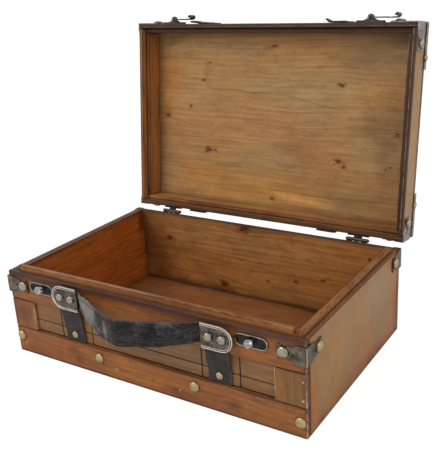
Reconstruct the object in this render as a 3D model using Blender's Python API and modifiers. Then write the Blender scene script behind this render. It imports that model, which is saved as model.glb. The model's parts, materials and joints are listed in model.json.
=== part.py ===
"""A vintage wooden suitcase box, standing with its lid open.

Metres, +Z up, the front faces -Y. The origin is the centre of the underside.
The lid and its latch hooks are drawn as they lie on the closed box, and are then
turned open about the hinge axis at the back.
"""

import math

import bmesh
import bpy
from mathutils import Matrix, Vector

# Case
CASE_WIDTH = 0.380
CASE_DEPTH = 0.244
BASE_HEIGHT = 0.104
LID_HEIGHT = 0.0365
LID_OPEN_ANGLE = math.radians(97.3)
SEAT_GAP = 0.0003
CUT_OVERRUN = 0.002
EDGE_ROUND = 0.0012
INNER_ROUND = 0.0006

# Base boards
FRONT_FRAME_THICKNESS = 0.006
SIDE_WALL_THICKNESS = 0.006
BACK_WALL_THICKNESS = 0.006
BASE_LINER_THICKNESS = 0.0050
FLOOR_THICKNESS = 0.004
LIP_HEIGHT = 0.0058
LIP_NOTCH = 0.0045
LIP_BACK_NOTCH = 0.012
TOP_RAIL_WIDTH = 0.034
BOTTOM_RAIL_WIDTH = 0.033
LEFT_STILE_WIDTH = 0.0335
RIGHT_STILE_WIDTH = 0.034
FRONT_PANEL_THICKNESS = 0.0022
FRONT_PANEL_RECESS = 0.0035
PANEL_GROOVE_WIDTH = 0.0018
PANEL_GROOVE_RISE = 0.0143
PANEL_INNER_GROOVE_INSET = 0.1175
PANEL_OUTER_GROOVE_INSET = 0.073

# Lid boards
LID_WALL_THICKNESS = 0.0055
LID_LINER_THICKNESS = 0.0053
LID_PANEL_THICKNESS = 0.0057
LID_LINER_RECESS = 0.0075

# Hinges
HINGE_INSET = 0.054
HINGE_SETBACK = 0.0055
HINGE_WIDTH = 0.0265
HINGE_LEAF_HEIGHT = 0.015
HINGE_LEAF_THICKNESS = 0.0012
HINGE_LEAF_DROP = 0.001
KNUCKLE_RADIUS = 0.0022
KNUCKLE_LENGTH = 0.0075
HINGE_WEB_SHARE = 0.9
KNUCKLE_BORE_RADIUS = 0.0013
PIN_RADIUS = 0.00105
PIN_HEAD_RADIUS = 0.0018
PIN_HEAD_LENGTH = 0.0008
STOP_INSET_SHARE = 0.25
STOP_THICKNESS = 0.0014
STOP_ANGLE = math.radians(28)
LEAF_NAIL_RADIUS = 0.0018
LEAF_NAIL_HEIGHT = 0.0008
LEAF_NAIL_PLACES_SHARES = ((-0.32, -0.68), (0.0, -0.42), (0.32, -0.68))

# Corner brackets, around the base and around the lid's rim
BRACKET_THICKNESS = 0.0012
BRACKET_FRONT_LEG = 0.0306
BRACKET_BACK_LEG = 0.0265
BRACKET_BASE_FRONT_HEIGHT = 0.0196
BRACKET_BASE_FRONT_DROP = 0.0159
BRACKET_BASE_BACK_HEIGHT = 0.0230
BRACKET_BASE_BACK_DROP = 0.0118
BRACKET_LID_HEIGHT = 0.0240
BRACKET_LID_CENTRE = 0.0133
BRACKET_LEG_SHARES = (0.25, 0.55, 0.75, 0.93)
BRACKET_NAIL_INSET = 0.0075
BRACKET_HOLE_SHARE = 0.42
BRACKET_HOLE_RADIUS = 0.0011
BRACKET_WAIST_SHARE = 0.62
BRACKET_FLARE_SHARE = 0.82
NAIL_RADIUS = 0.0061
NAIL_HEIGHT = 0.0030
NAIL_SINK = 0.0003

# Caps on the lid's top corners
CAP_LEG = 0.051
CAP_ARM_WIDTH = 0.015
CAP_SKIRT = 0.0055
CAP_THICKNESS = 0.0010
CAP_NAIL_PLACE = 0.0375
CAP_NAIL_RADIUS = 0.0044
CAP_NAIL_HEIGHT = 0.0022
CAP_NAIL_DROP = 0.0035

# Leather straps
STRAP_INSETS = {"left": 0.0940, "right": 0.0955}
STRAP_WIDTH = 0.0275
STRAP_THICKNESS = 0.0020
STRAP_TOP_DROP = 0.0075
STRAP_FOOT_RISE = 0.0015
STRAP_DIP_DROP = 0.0345
STRAP_DIP_SHARE = 0.311
STRAP_RIVET_RISE = 0.009
STRAP_RIVET_RADIUS = 0.0043
STRAP_RIVET_DOME = 0.0020
LID_STRAP_INSETS = {"left": 0.0945, "right": 0.0965}
LID_STRAP_WIDTH = 0.0255
LID_STRAP_FRONT_END = 0.0035
LID_STRAP_BACK_END = 0.0020
LID_STRAP_BEND = 0.0012

# Handle
HANDLE_PLATE_INSET = 0.092
HANDLE_PLATE_LENGTH = 0.0362
HANDLE_PLATE_HEIGHT = 0.027
HANDLE_PLATE_DROPS = {"left": 0.0145, "right": 0.0164}
HANDLE_PLATE_THICKNESS = 0.0012
HANDLE_OUTER_RIDGE_RADIUS = 0.0009
HANDLE_INNER_RIDGE_RADIUS = 0.0006
HANDLE_RIDGE_SPACING = 0.0019
HANDLE_RIVET_INSET = 0.009
HANDLE_RIVET_SPACING = 0.0155
RIDGE_SINK_SHARE = 0.25
HANDLE_RIVET_RADIUS = 0.0047
HANDLE_RIVET_HEIGHT = 0.0031
HANDLE_THICKNESS = 0.0024
HANDLE_TAB = 0.027
HANDLE_END_CLEARANCE = 0.0015
HANDLE_BOW = 0.035
HANDLE_BOW_EXPONENT = 1.25
HANDLE_BOW_SOFTNESS = 0.05
HANDLE_TOP_DROP = 0.0036
HANDLE_BOTTOM_DROP = 0.0260
HANDLE_MIDDLE_RISE = 0.0010
HANDLE_MIDDLE_DROP = 0.0068

# Catch plates and studs on the base, latch plates and hooks on the lid
LATCH_INSETS = {"left": 0.0520, "right": 0.0566}
CATCH_DROP = 0.0135
CATCH_LENGTH = 0.036
CATCH_WIDTH = 0.013
CATCH_THICKNESS = 0.0010
CATCH_RIM_RADIUS = 0.0008
CATCH_HOLE_RADIUS = 0.0012
CATCH_HOLE_PLACE = 0.0130
STUD_FOOT_RADIUS = 0.0032
STUD_FOOT_HEIGHT = 0.0008
STUD_NECK_RADIUS = 0.0020
STUD_HEAD_RADIUS = 0.0048
STUD_HEAD_HEIGHT = 0.0020
LATCH_PIVOT_HEIGHT = 0.010
LATCH_PLATE_LENGTH = 0.034
LATCH_PLATE_WIDTH = 0.013
LATCH_PLATE_THICKNESS = 0.0022
LATCH_BOSS_RADIUS = 0.0058
LATCH_BOSS_TOP_RADIUS = 0.0030
LATCH_BOSS_STRETCH = 1.6
LATCH_BOSS_HEIGHT = 0.0024
LATCH_NECK_RADIUS = 0.0016
LATCH_HEAD_RADIUS = 0.0040
LATCH_HEAD_HEIGHT = 0.0031
HOOK_THICKNESS = 0.0013
HOOK_EYE_RADIUS = 0.0042
HOOK_EYE_CLEARANCE = 0.0004
HOOK_ARM_HALF_WIDTH = 0.0025
HOOK_JAW_HALF_WIDTH = 0.0043
HOOK_JAW_HALF_LENGTH = 0.0048
HOOK_SLOT_CLEARANCE = 0.0007
HOOK_TONGUE_HALF_WIDTH = 0.0034
HOOK_CURL_BEYOND = 0.0080
HOOK_CURL_RISE = 0.0007
HOOK_CURL_RADIUS = 0.0026
HOOK_CURL_THICKNESS = 0.0012
HOOK_CURL_HALF_WIDTH = 0.0043
HOOK_CURL_TURN = math.radians(285)
HOOK_REST_ANGLES = {"left": math.radians(10), "right": 0.0}

# Nails along the bottom rail: share of the width from the middle, and height
RAIL_NAIL_PLACES_SHARES = (-0.482, -0.164, 0.168, 0.482)
RAIL_NAIL_HEIGHT = 0.0215
RAIL_NAIL_LAST_HEIGHT = 0.0170

# Facets
DOME_STEPS = 12
DOME_RINGS = 3
ROUND_STEPS = 16
BEND_STEPS = 3
ARC_STEPS = 7
HANDLE_STEPS = 28
ROUND_SEGMENTS = 2

# Places worked out from the sizes above
FRONT_FACE = -CASE_DEPTH / 2
BACK_FACE = CASE_DEPTH / 2
SIDE_FACE = CASE_WIDTH / 2


def from_sides(insets):
    """Where the left and right copies of a piece stand, so far in from the case's sides."""
    return {"left": insets["left"] - SIDE_FACE, "right": SIDE_FACE - insets["right"]}


RIM_HEIGHT = BASE_HEIGHT + SEAT_GAP
LID_PANEL_UNDERSIDE = BASE_HEIGHT + LID_HEIGHT - LID_PANEL_THICKNESS
HINGE_AXIS_Y = BACK_FACE + HINGE_SETBACK
LINER_FRONT = FRONT_FACE + FRONT_FRAME_THICKNESS + SEAT_GAP
LINER_BACK = BACK_FACE - BACK_WALL_THICKNESS - SEAT_GAP
SIDE_LINER_OUTER = SIDE_FACE - SIDE_WALL_THICKNESS - SEAT_GAP
SIDE_LINER_INNER = SIDE_LINER_OUTER - BASE_LINER_THICKNESS
PANEL_GROOVE_HEIGHT = BOTTOM_RAIL_WIDTH + PANEL_GROOVE_RISE
PANEL_INNER_GROOVE_OFFSET = SIDE_FACE - PANEL_INNER_GROOVE_INSET
PANEL_OUTER_GROOVE_OFFSET = SIDE_FACE - PANEL_OUTER_GROOVE_INSET
HINGE_OFFSET = SIDE_FACE - HINGE_INSET
BRACKET_BASE_FRONT_CENTRE = BASE_HEIGHT - BRACKET_BASE_FRONT_DROP
BRACKET_BASE_BACK_CENTRE = BASE_HEIGHT - BRACKET_BASE_BACK_DROP
STRAP_PLACES = from_sides(STRAP_INSETS)
STRAP_TOP = BASE_HEIGHT - STRAP_TOP_DROP
STRAP_BOTTOM = BOTTOM_RAIL_WIDTH + STRAP_FOOT_RISE
STRAP_DIP_START = BASE_HEIGHT - STRAP_DIP_DROP
STRAP_DIP_LENGTH = STRAP_DIP_SHARE * (BASE_HEIGHT - TOP_RAIL_WIDTH - BOTTOM_RAIL_WIDTH)
STRAP_RIVET_HEIGHT = BOTTOM_RAIL_WIDTH + STRAP_RIVET_RISE
LID_STRAP_PLACES = from_sides(LID_STRAP_INSETS)
HANDLE_PLATE_OFFSET = SIDE_FACE - HANDLE_PLATE_INSET
HANDLE_PLATE_CENTRES = {side: BASE_HEIGHT - drop for side, drop in HANDLE_PLATE_DROPS.items()}
HANDLE_END_TOP = BASE_HEIGHT - HANDLE_TOP_DROP
HANDLE_END_BOTTOM = BASE_HEIGHT - HANDLE_BOTTOM_DROP
LATCH_PLACES = from_sides(LATCH_INSETS)
CATCH_HEIGHT = BASE_HEIGHT - CATCH_DROP
LATCH_PIVOT_Z = BASE_HEIGHT + LATCH_PIVOT_HEIGHT
LATCH_REACH = LATCH_PIVOT_Z - CATCH_HEIGHT
HOOK_CURL_REACH = LATCH_REACH + HOOK_CURL_BEYOND
LATCH_BOSS_TOP = SEAT_GAP + LATCH_PLATE_THICKNESS + LATCH_BOSS_HEIGHT
HOOK_UNDERSIDE = LATCH_BOSS_TOP + SEAT_GAP
HOOK_TOP = HOOK_UNDERSIDE + HOOK_THICKNESS
STRAP_OUTER = SEAT_GAP + STRAP_THICKNESS
HANDLE_INNER = STRAP_OUTER + SEAT_GAP
HANDLE_PLATE_INNER = HANDLE_INNER + HANDLE_THICKNESS + SEAT_GAP

# Faces of the case: turns a piece drawn flat, with its outside along +Z, onto that face
FRONT = Matrix(((1, 0, 0), (0, 0, -1), (0, 1, 0))).to_4x4()
BACK = Matrix(((-1, 0, 0), (0, 0, 1), (0, 1, 0))).to_4x4()
RIGHT = Matrix(((0, 0, 1), (1, 0, 0), (0, 1, 0))).to_4x4()
LEFT = Matrix(((0, 0, -1), (-1, 0, 0), (0, 1, 0))).to_4x4()
TOP = Matrix.Identity(4)
ALONG_X = Matrix(((0, 0, 1), (1, 0, 0), (0, 1, 0))).to_4x4()


def clear_scene():
    """Removes whatever the scene holds."""
    for obj in list(bpy.data.objects):
        bpy.data.objects.remove(obj, do_unlink=True)


def finish(name, colour, roughness, metallic=0.0):
    """A plain material of one colour."""
    material = bpy.data.materials.new(name)
    material.use_nodes = True
    shader = material.node_tree.nodes["Principled BSDF"]
    shader.inputs["Base Color"].default_value = (*colour, 1.0)
    shader.inputs["Roughness"].default_value = roughness
    shader.inputs["Metallic"].default_value = metallic
    material.diffuse_color = (*colour, 1.0)
    return material


def new_object(name, mesh, material=None):
    """An object of the parts collection that holds this mesh."""
    obj = bpy.data.objects.new(name, mesh)
    parts.objects.link(obj)
    if material:
        mesh.materials.clear()
        mesh.materials.append(material)
    return obj


def mesh_of(name, builder):
    """A mesh from a bmesh, which is freed."""
    bmesh.ops.recalc_face_normals(builder, faces=builder.faces)
    mesh = bpy.data.meshes.new(name)
    builder.to_mesh(mesh)
    builder.free()
    return mesh


def settle(obj):
    """Turns the object's modifiers, or its curve, into one welded mesh."""
    graph = bpy.context.evaluated_depsgraph_get()
    mesh = bpy.data.meshes.new_from_object(obj.evaluated_get(graph))
    builder = bmesh.new()
    builder.from_mesh(mesh)
    bmesh.ops.remove_doubles(builder, verts=builder.verts, dist=SEAT_GAP / ROUND_STEPS)
    bmesh.ops.recalc_face_normals(builder, faces=builder.faces)
    builder.to_mesh(mesh)
    builder.free()
    if obj.type == "MESH":
        obj.modifiers.clear()
        obj.data = mesh
        return obj
    name, matrix = obj.name, obj.matrix_world.copy()
    bpy.data.objects.remove(obj, do_unlink=True)
    settled = new_object(name, mesh)
    settled.matrix_world = matrix
    return settled


def combine(obj, other, operation):
    """Applies a Boolean of the other object, which is used up."""
    modifier = obj.modifiers.new(operation.title(), "BOOLEAN")
    modifier.operation = operation
    modifier.solver = "EXACT"
    modifier.object = other
    settle(obj)
    bpy.data.objects.remove(other, do_unlink=True)
    return obj


def fuse(obj, *others):
    """Joins the other objects to the first as one body."""
    for other in others:
        combine(obj, other, "UNION")
    return obj


def cut(obj, *cutters):
    """Cuts the other objects out of the first."""
    for cutter in cutters:
        combine(obj, cutter, "DIFFERENCE")
    return obj


def block(name, low, high, material=None, rounding=0.0):
    """A board between two corners, with its long edges eased."""
    low, high = Vector(low), Vector(high)
    builder = bmesh.new()
    bmesh.ops.create_cube(builder, size=1)
    bmesh.ops.scale(builder, vec=high - low, verts=builder.verts)
    obj = new_object(name, mesh_of(name, builder), material)
    obj.location = (low + high) / 2
    if rounding:
        bevel = obj.modifiers.new("Eased edges", "BEVEL")
        bevel.width = rounding
        bevel.segments = ROUND_SEGMENTS
    return obj


def cylinder(name, radius, low, high, turn, place, steps=ROUND_STEPS):
    """A round bar from low to high along its own axis."""
    builder = bmesh.new()
    matrix = Matrix.Translation((0, 0, (low + high) / 2))
    bmesh.ops.create_cone(
        builder,
        cap_ends=True,
        segments=steps,
        radius1=radius,
        radius2=radius,
        depth=high - low,
        matrix=matrix,
    )
    obj = new_object(name, mesh_of(name, builder))
    obj.matrix_world = Matrix.Translation(place) @ turn
    return obj


def flat(name, outline, low, high, turn, place):
    """A flat piece with this outline, from low to high along its own Z."""
    curve = bpy.data.curves.new(name, "CURVE")
    curve.dimensions = "2D"
    curve.fill_mode = "BOTH"
    curve.extrude = (high - low) / 2
    spline = curve.splines.new("POLY")
    spline.points.add(len(outline) - 1)
    for point, (x, y) in zip(spline.points, outline):
        point.co = (x, y, 0, 1)
    spline.use_cyclic_u = True
    obj = new_object(name, curve)
    middle = Matrix.Translation((0, 0, (low + high) / 2))
    obj.matrix_world = Matrix.Translation(place) @ turn @ middle
    bpy.context.view_layer.update()
    return settle(obj)


def tube(name, path, radius, closed, turn, place):
    """A thin round rod along points in the flat piece's own space."""
    curve = bpy.data.curves.new(name, "CURVE")
    curve.dimensions = "3D"
    curve.bevel_depth = radius
    curve.bevel_resolution = 1
    curve.use_fill_caps = True
    spline = curve.splines.new("POLY")
    spline.points.add(len(path) - 1)
    for point, place_of_point in zip(spline.points, path):
        point.co = (*place_of_point, 1)
    spline.use_cyclic_u = closed
    obj = new_object(name, curve)
    obj.matrix_world = Matrix.Translation(place) @ turn
    bpy.context.view_layer.update()
    return settle(obj)


def turned(name, profile, turn, place, steps=DOME_STEPS):
    """A turned piece: a profile of radius and height, from its top down its outer side."""
    builder = bmesh.new()
    points = [builder.verts.new((radius, 0, height)) for radius, height in profile]
    for first, second in zip(points, points[1:]):
        builder.edges.new((first, second))
    mesh = bpy.data.meshes.new(name)
    builder.to_mesh(mesh)
    builder.free()
    obj = new_object(name, mesh)
    screw = obj.modifiers.new("Turned", "SCREW")
    screw.steps = steps
    screw.render_steps = steps
    screw.use_merge_vertices = True
    screw.merge_threshold = SEAT_GAP / ROUND_STEPS
    obj.matrix_world = Matrix.Translation(place) @ turn
    return settle(obj)


def dome_profile(radius, height, base):
    """A domed head on a short straight edge that reaches down to its base height."""
    quarter = math.pi / 2
    angles = [quarter * ring / DOME_RINGS for ring in range(DOME_RINGS + 1)]
    dome = [(radius * math.sin(a), height * math.cos(a)) for a in angles]
    return dome + [(radius, base), (0, base)]


def nail(name, radius, height, sink, turn, place):
    """A domed nail head, whose straight edge reaches down by its sink."""
    return turned(name, dome_profile(radius, height, -sink), turn, place)


def arc(centre, radius, start, end, steps=ARC_STEPS):
    """Points along an arc."""
    angles = [start + (end - start) * step / steps for step in range(steps + 1)]
    return [(centre[0] + radius * math.cos(a), centre[1] + radius * math.sin(a)) for a in angles]


def stadium(length, width):
    """The outline of a bar with round ends."""
    radius = width / 2
    reach = length / 2 - radius
    quarter = math.pi / 2
    right = arc((reach, 0), radius, -quarter, quarter)
    left = arc((-reach, 0), radius, quarter, 3 * quarter)
    return right + left


def dress(obj, material):
    """Gives a finished piece its material and shades its round faces smooth."""
    obj.data.materials.clear()
    obj.data.materials.append(material)
    obj.data.shade_smooth()
    obj.data.set_sharp_from_angle(angle=math.radians(35))
    return obj


def mirrored(obj, across_x, across_y):
    """Mirrors the piece's mesh about the case's middle planes."""
    signs = (-1 if across_x else 1, -1 if across_y else 1, 1)
    matrix = Matrix.Diagonal((*signs, 1)) @ obj.matrix_world
    obj.data.transform(matrix)
    if across_x != across_y:
        obj.data.flip_normals()
    obj.matrix_world = Matrix.Identity(4)
    return obj


def centred(obj):
    """Moves the piece's origin to the middle of its box, leaving its mesh where it is."""
    corners = [obj.matrix_world @ Vector(corner) for corner in obj.bound_box]
    low = Vector(min(corner[axis] for corner in corners) for axis in range(3))
    high = Vector(max(corner[axis] for corner in corners) for axis in range(3))
    middle = Matrix.Translation((low + high) / 2)
    obj.data.transform(middle.inverted() @ obj.matrix_world)
    obj.matrix_world = middle
    return obj


def carry(obj, axis):
    """Hangs a piece on an empty that stands on a joint's axis."""
    bpy.context.view_layer.update()
    obj.parent = axis
    obj.matrix_parent_inverse = axis.matrix_world.inverted()


def joint_axis(name, place, size, axis=None):
    """An empty on a joint's axis."""
    empty = bpy.data.objects.new(name, None)
    empty.empty_display_size = size
    empty.location = place
    parts.objects.link(empty)
    if axis:
        carry(empty, axis)
    bpy.context.view_layer.update()
    return empty


def floor_panel():
    """The bottom board, let in between the walls."""
    reach = SIDE_FACE - SIDE_WALL_THICKNESS - SEAT_GAP
    low = (-reach, LINER_FRONT, 0)
    high = (reach, LINER_BACK, FLOOR_THICKNESS)
    return block("floor_panel", low, high, wood_inside)


def front_frame():
    """Two rails across the full width, with a stile between them at each end."""
    back = FRONT_FACE + FRONT_FRAME_THICKNESS
    top_rail_foot = BASE_HEIGHT - TOP_RAIL_WIDTH
    stile_foot = BOTTOM_RAIL_WIDTH + SEAT_GAP
    stile_head = top_rail_foot - SEAT_GAP
    boards = (
        ("front_top_rail", -SIDE_FACE, SIDE_FACE, top_rail_foot, BASE_HEIGHT, wood_rail),
        ("front_bottom_rail", -SIDE_FACE, SIDE_FACE, 0, BOTTOM_RAIL_WIDTH, wood_rail),
        ("front_left_stile", -SIDE_FACE, LEFT_STILE_WIDTH - SIDE_FACE, stile_foot, stile_head, wood_rail),
        ("front_right_stile", SIDE_FACE - RIGHT_STILE_WIDTH, SIDE_FACE, stile_foot, stile_head, wood_panel),
    )
    for name, left, right, foot, head, material in boards:
        block(name, (left, FRONT_FACE, foot), (right, back, head), material, EDGE_ROUND)


def front_panel():
    """The thin board that fills the front frame, with V-grooves across its face."""
    left = LEFT_STILE_WIDTH - SIDE_FACE + SEAT_GAP
    right = SIDE_FACE - RIGHT_STILE_WIDTH - SEAT_GAP
    foot = BOTTOM_RAIL_WIDTH + SEAT_GAP
    head = BASE_HEIGHT - TOP_RAIL_WIDTH - SEAT_GAP
    face = FRONT_FACE + FRONT_PANEL_RECESS
    back = face + FRONT_PANEL_THICKNESS
    panel = block("front_panel", (left, face, foot), (right, back, head), wood_panel)
    half = PANEL_GROOVE_WIDTH / 2
    offsets = (PANEL_INNER_GROOVE_OFFSET, PANEL_OUTER_GROOVE_OFFSET)
    triangle = [(-half, CUT_OVERRUN), (-half, 0), (0, -half), (half, 0), (half, CUT_OVERRUN)]
    along = FRONT @ RIGHT
    length = right - left + CUT_OVERRUN
    middle = ((left + right) / 2, face, PANEL_GROOVE_HEIGHT)
    cut(panel, flat("groove", triangle, -length / 2, length / 2, along, middle))
    height = head - foot + CUT_OVERRUN
    upright = Matrix(((1, 0, 0), (0, -1, 0), (0, 0, -1))).to_4x4()
    for offset in (*offsets, *(-offset for offset in offsets)):
        place = (offset, face, (foot + head) / 2)
        cut(panel, flat("groove", triangle, -height / 2, height / 2, upright, place))
    return dress(panel, wood_panel)


def base_walls():
    """The two side boards and the back board, which covers their ends."""
    front = FRONT_FACE + FRONT_FRAME_THICKNESS + SEAT_GAP
    back = BACK_FACE - BACK_WALL_THICKNESS
    inner = SIDE_FACE - SIDE_WALL_THICKNESS
    high = BASE_HEIGHT
    low_left, high_left = (-SIDE_FACE, front, 0), (-inner, back - SEAT_GAP, high)
    low_right, high_right = (inner, front, 0), (SIDE_FACE, back - SEAT_GAP, high)
    block("left_wall", low_left, high_left, wood_side, EDGE_ROUND)
    block("right_wall", low_right, high_right, wood_side, EDGE_ROUND)
    block("back_wall", (-SIDE_FACE, back, 0), (SIDE_FACE, BACK_FACE, high), wood_side, EDGE_ROUND)


def base_liners():
    """Thin boards inside the front and sides. The front and right ones stand proud as a lip."""
    foot = FLOOR_THICKNESS + SEAT_GAP
    head = BASE_HEIGHT + LIP_HEIGHT
    inner, outer = SIDE_LINER_INNER, SIDE_LINER_OUTER
    low_left, high_left = (-outer, LINER_FRONT, foot), (-inner, LINER_BACK, BASE_HEIGHT)
    block("left_liner", low_left, high_left, wood_inside, INNER_ROUND)
    lip_end = LINER_BACK - LIP_BACK_NOTCH
    outline = [(LINER_FRONT, foot), (LINER_BACK, foot), (LINER_BACK, BASE_HEIGHT), (lip_end, BASE_HEIGHT)]
    outline += [(lip_end, head), (LINER_FRONT, head)]
    dress(flat("right_liner", outline, inner, outer, RIGHT, (0, 0, 0)), wood_inside)
    reach = inner - SEAT_GAP
    notch = reach - LIP_NOTCH
    shoulder = BASE_HEIGHT
    outline = [(-reach, foot), (reach, foot), (reach, shoulder), (notch, shoulder), (notch, head), (-reach, head)]
    back = LINER_FRONT + BASE_LINER_THICKNESS
    liner = flat("front_liner", outline, -back, -LINER_FRONT, FRONT, (0, 0, 0))
    return dress(liner, wood_inside)


def lid_boards(axis):
    """The lid's panel, its four walls and the recessed liner strips inside them."""
    wall_top = LID_PANEL_UNDERSIDE - SEAT_GAP
    low, high = (-SIDE_FACE, FRONT_FACE, LID_PANEL_UNDERSIDE), (SIDE_FACE, BACK_FACE, BASE_HEIGHT + LID_HEIGHT)
    boards = [block("lid_top_panel", low, high, wood_side, EDGE_ROUND)]
    boards += lid_ring("lid_{}_wall", 0, LID_WALL_THICKNESS, RIM_HEIGHT, wall_top, wood_side, EDGE_ROUND)
    outside = LID_WALL_THICKNESS + SEAT_GAP
    foot = RIM_HEIGHT + LID_LINER_RECESS
    thickness = LID_LINER_THICKNESS
    boards += lid_ring("lid_{}_liner", outside, thickness, foot, wall_top, wood_inside, INNER_ROUND)
    for board in boards:
        carry(board, axis)


def lid_ring(name, inset, thickness, foot, head, material, rounding):
    """Four boards in a ring, the front and back ones over the ends of the side ones."""
    wide, deep = SIDE_FACE - inset, BACK_FACE - inset
    short = deep - thickness - SEAT_GAP
    places = (
        ("front", (-wide, -deep, foot), (wide, thickness - deep, head)),
        ("back", (-wide, deep - thickness, foot), (wide, deep, head)),
        ("left", (-wide, -short, foot), (thickness - wide, short, head)),
        ("right", (wide - thickness, -short, foot), (wide, short, head)),
    )
    return [block(name.format(side), low, high, material, rounding) for side, low, high in places]


def bracket_outline(length, height):
    """A leg of a corner bracket: full at the corner, waisted, and flared to a bowed end."""
    full, waist, flare = height / 2, height / 2 * BRACKET_WAIST_SHARE, height / 2 * BRACKET_FLARE_SHARE
    start = -(SEAT_GAP + BRACKET_THICKNESS)
    halves = (full, (full + 2 * waist) / 3, waist, flare)
    upper = [(start, full)] + [(length * share, half) for share, half in zip(BRACKET_LEG_SHARES, halves)]
    lower = [(x, -half) for x, half in upper]
    return lower + [(length, -flare / 2), (length, flare / 2)] + upper[::-1]


def bracket(name, length, height, centre):
    """A bracket bent round the front right corner, with a nail and an empty hole in each leg."""
    low, high = SEAT_GAP, SEAT_GAP + BRACKET_THICKNESS
    corner = Vector((SIDE_FACE, FRONT_FACE, centre))
    backwards = FRONT @ Matrix.Diagonal((-1, -1, 1, 1))
    front = flat(name, bracket_outline(length, height), low, high, backwards, corner)
    side = flat("leg", bracket_outline(length, height), low, high, RIGHT, corner)
    fuse(front, side)
    for turn, way in ((FRONT, Vector((-1, 0, 0))), (RIGHT, Vector((0, 1, 0)))):
        outward = turn.to_3x3() @ Vector((0, 0, high))
        place = corner + way * (length - BRACKET_NAIL_INSET) + outward
        fuse(front, nail("nail", NAIL_RADIUS, NAIL_HEIGHT, NAIL_SINK, turn, place))
        place = corner + way * length * BRACKET_HOLE_SHARE
        cut(front, cylinder("hole", BRACKET_HOLE_RADIUS, 0, high + CUT_OVERRUN, turn, place, DOME_STEPS))
    return front


def corner_pieces(name, maker, material, axis=None):
    """The same piece at the four corners. The maker draws it at the front right one."""
    for end, across_y in (("front", False), ("back", True)):
        for side, across_x in (("left", True), ("right", False)):
            piece = maker(name.format(end, side), across_y)
            centred(mirrored(piece, across_x, across_y))
            dress(piece, material)
            if axis:
                carry(piece, axis)


def base_bracket(name, at_back):
    """A bracket of the base. Those at the back have shorter legs and sit higher."""
    if at_back:
        leg, height, centre = BRACKET_BACK_LEG, BRACKET_BASE_BACK_HEIGHT, BRACKET_BASE_BACK_CENTRE
    else:
        leg, height, centre = BRACKET_FRONT_LEG, BRACKET_BASE_FRONT_HEIGHT, BRACKET_BASE_FRONT_CENTRE
    return bracket(name, leg, height, centre)


def lid_bracket(name, at_back):
    """A bracket on the lid's rim, taller than the base's."""
    leg = BRACKET_BACK_LEG if at_back else BRACKET_FRONT_LEG
    return bracket(name, leg, BRACKET_LID_HEIGHT, BASE_HEIGHT + BRACKET_LID_CENTRE)


def lid_cap(name, at_back):
    """A cap over a top corner of the lid: two arms on top, a short skirt down each side, nails."""
    top = BASE_HEIGHT + LID_HEIGHT + SEAT_GAP
    outside = SEAT_GAP + CAP_THICKNESS
    arm = CAP_ARM_WIDTH
    bow = arc((-CAP_LEG, CAP_LEG), CAP_LEG - arm, 0, -math.pi / 2)
    outline = [(outside, -outside), (outside, CAP_LEG)] + bow + [(-CAP_LEG, -outside)]
    corner = (SIDE_FACE, FRONT_FACE, 0)
    cap = flat(name, outline, top, top + CAP_THICKNESS, TOP, corner)
    skirt = [(outside, -outside), (outside, CAP_LEG), (SEAT_GAP, CAP_LEG), (SEAT_GAP, -SEAT_GAP)]
    skirt += [(-CAP_LEG, -SEAT_GAP), (-CAP_LEG, -outside)]
    fuse(cap, flat("skirt", skirt, top - CAP_SKIRT, top + CAP_THICKNESS / 2, TOP, corner))
    height = top - CAP_NAIL_DROP
    front = (SIDE_FACE - CAP_NAIL_PLACE, FRONT_FACE - outside, height)
    side = (SIDE_FACE + outside, FRONT_FACE + CAP_NAIL_PLACE, height)
    for turn, place in ((FRONT, front), (RIGHT, side)):
        fuse(cap, nail("nail", CAP_NAIL_RADIUS, CAP_NAIL_HEIGHT, NAIL_SINK, turn, place))
    middle = (SIDE_FACE - arm / 2, FRONT_FACE + arm / 2, top + CAP_THICKNESS)
    return fuse(cap, nail("nail", NAIL_RADIUS, NAIL_HEIGHT, NAIL_SINK, TOP, middle))


def hinge_leaf(name, centre, down):
    """A leaf: a plate on the back, webs out to the axis, and knuckles round the pin.

    It is drawn at the case's middle and then moved along to its place.
    """
    sign = -1 if down else 1
    half = HINGE_WIDTH / 2
    face = BACK_FACE + SEAT_GAP
    near = BASE_HEIGHT + sign * HINGE_LEAF_DROP
    far = near + sign * HINGE_LEAF_HEIGHT
    web = BASE_HEIGHT + sign * KNUCKLE_RADIUS * HINGE_WEB_SHARE
    low = (-half, face, min(near, far))
    high = (half, face + HINGE_LEAF_THICKNESS, max(near, far))
    leaf = block(name, low, high)
    inner = half - KNUCKLE_LENGTH
    spans = ((-half, -inner), (inner, half)) if down else ((SEAT_GAP - inner, inner - SEAT_GAP),)
    place = (0, HINGE_AXIS_Y, BASE_HEIGHT)
    for start, end in spans:
        low = (start + SEAT_GAP, face + SEAT_GAP, min(near, web))
        high = (end - SEAT_GAP, HINGE_AXIS_Y, max(near, web))
        fuse(leaf, block("web", low, high))
        fuse(leaf, cylinder("knuckle", KNUCKLE_RADIUS, start, end, ALONG_X, place))
        if not down:
            fuse(leaf, hinge_stop(start, end))
    cut(leaf, cylinder("bore", KNUCKLE_BORE_RADIUS, -half - CUT_OVERRUN, half + CUT_OVERRUN, ALONG_X, place))
    for across, along in LEAF_NAIL_PLACES_SHARES:
        height = near - sign * along * HINGE_LEAF_HEIGHT
        place = (across * HINGE_WIDTH, face + HINGE_LEAF_THICKNESS, height)
        fuse(leaf, nail("nail", LEAF_NAIL_RADIUS, LEAF_NAIL_HEIGHT, NAIL_SINK, BACK, place))
    leaf.location.x += centre
    bpy.context.view_layer.update()
    return dress(centred(leaf), steel)


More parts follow.
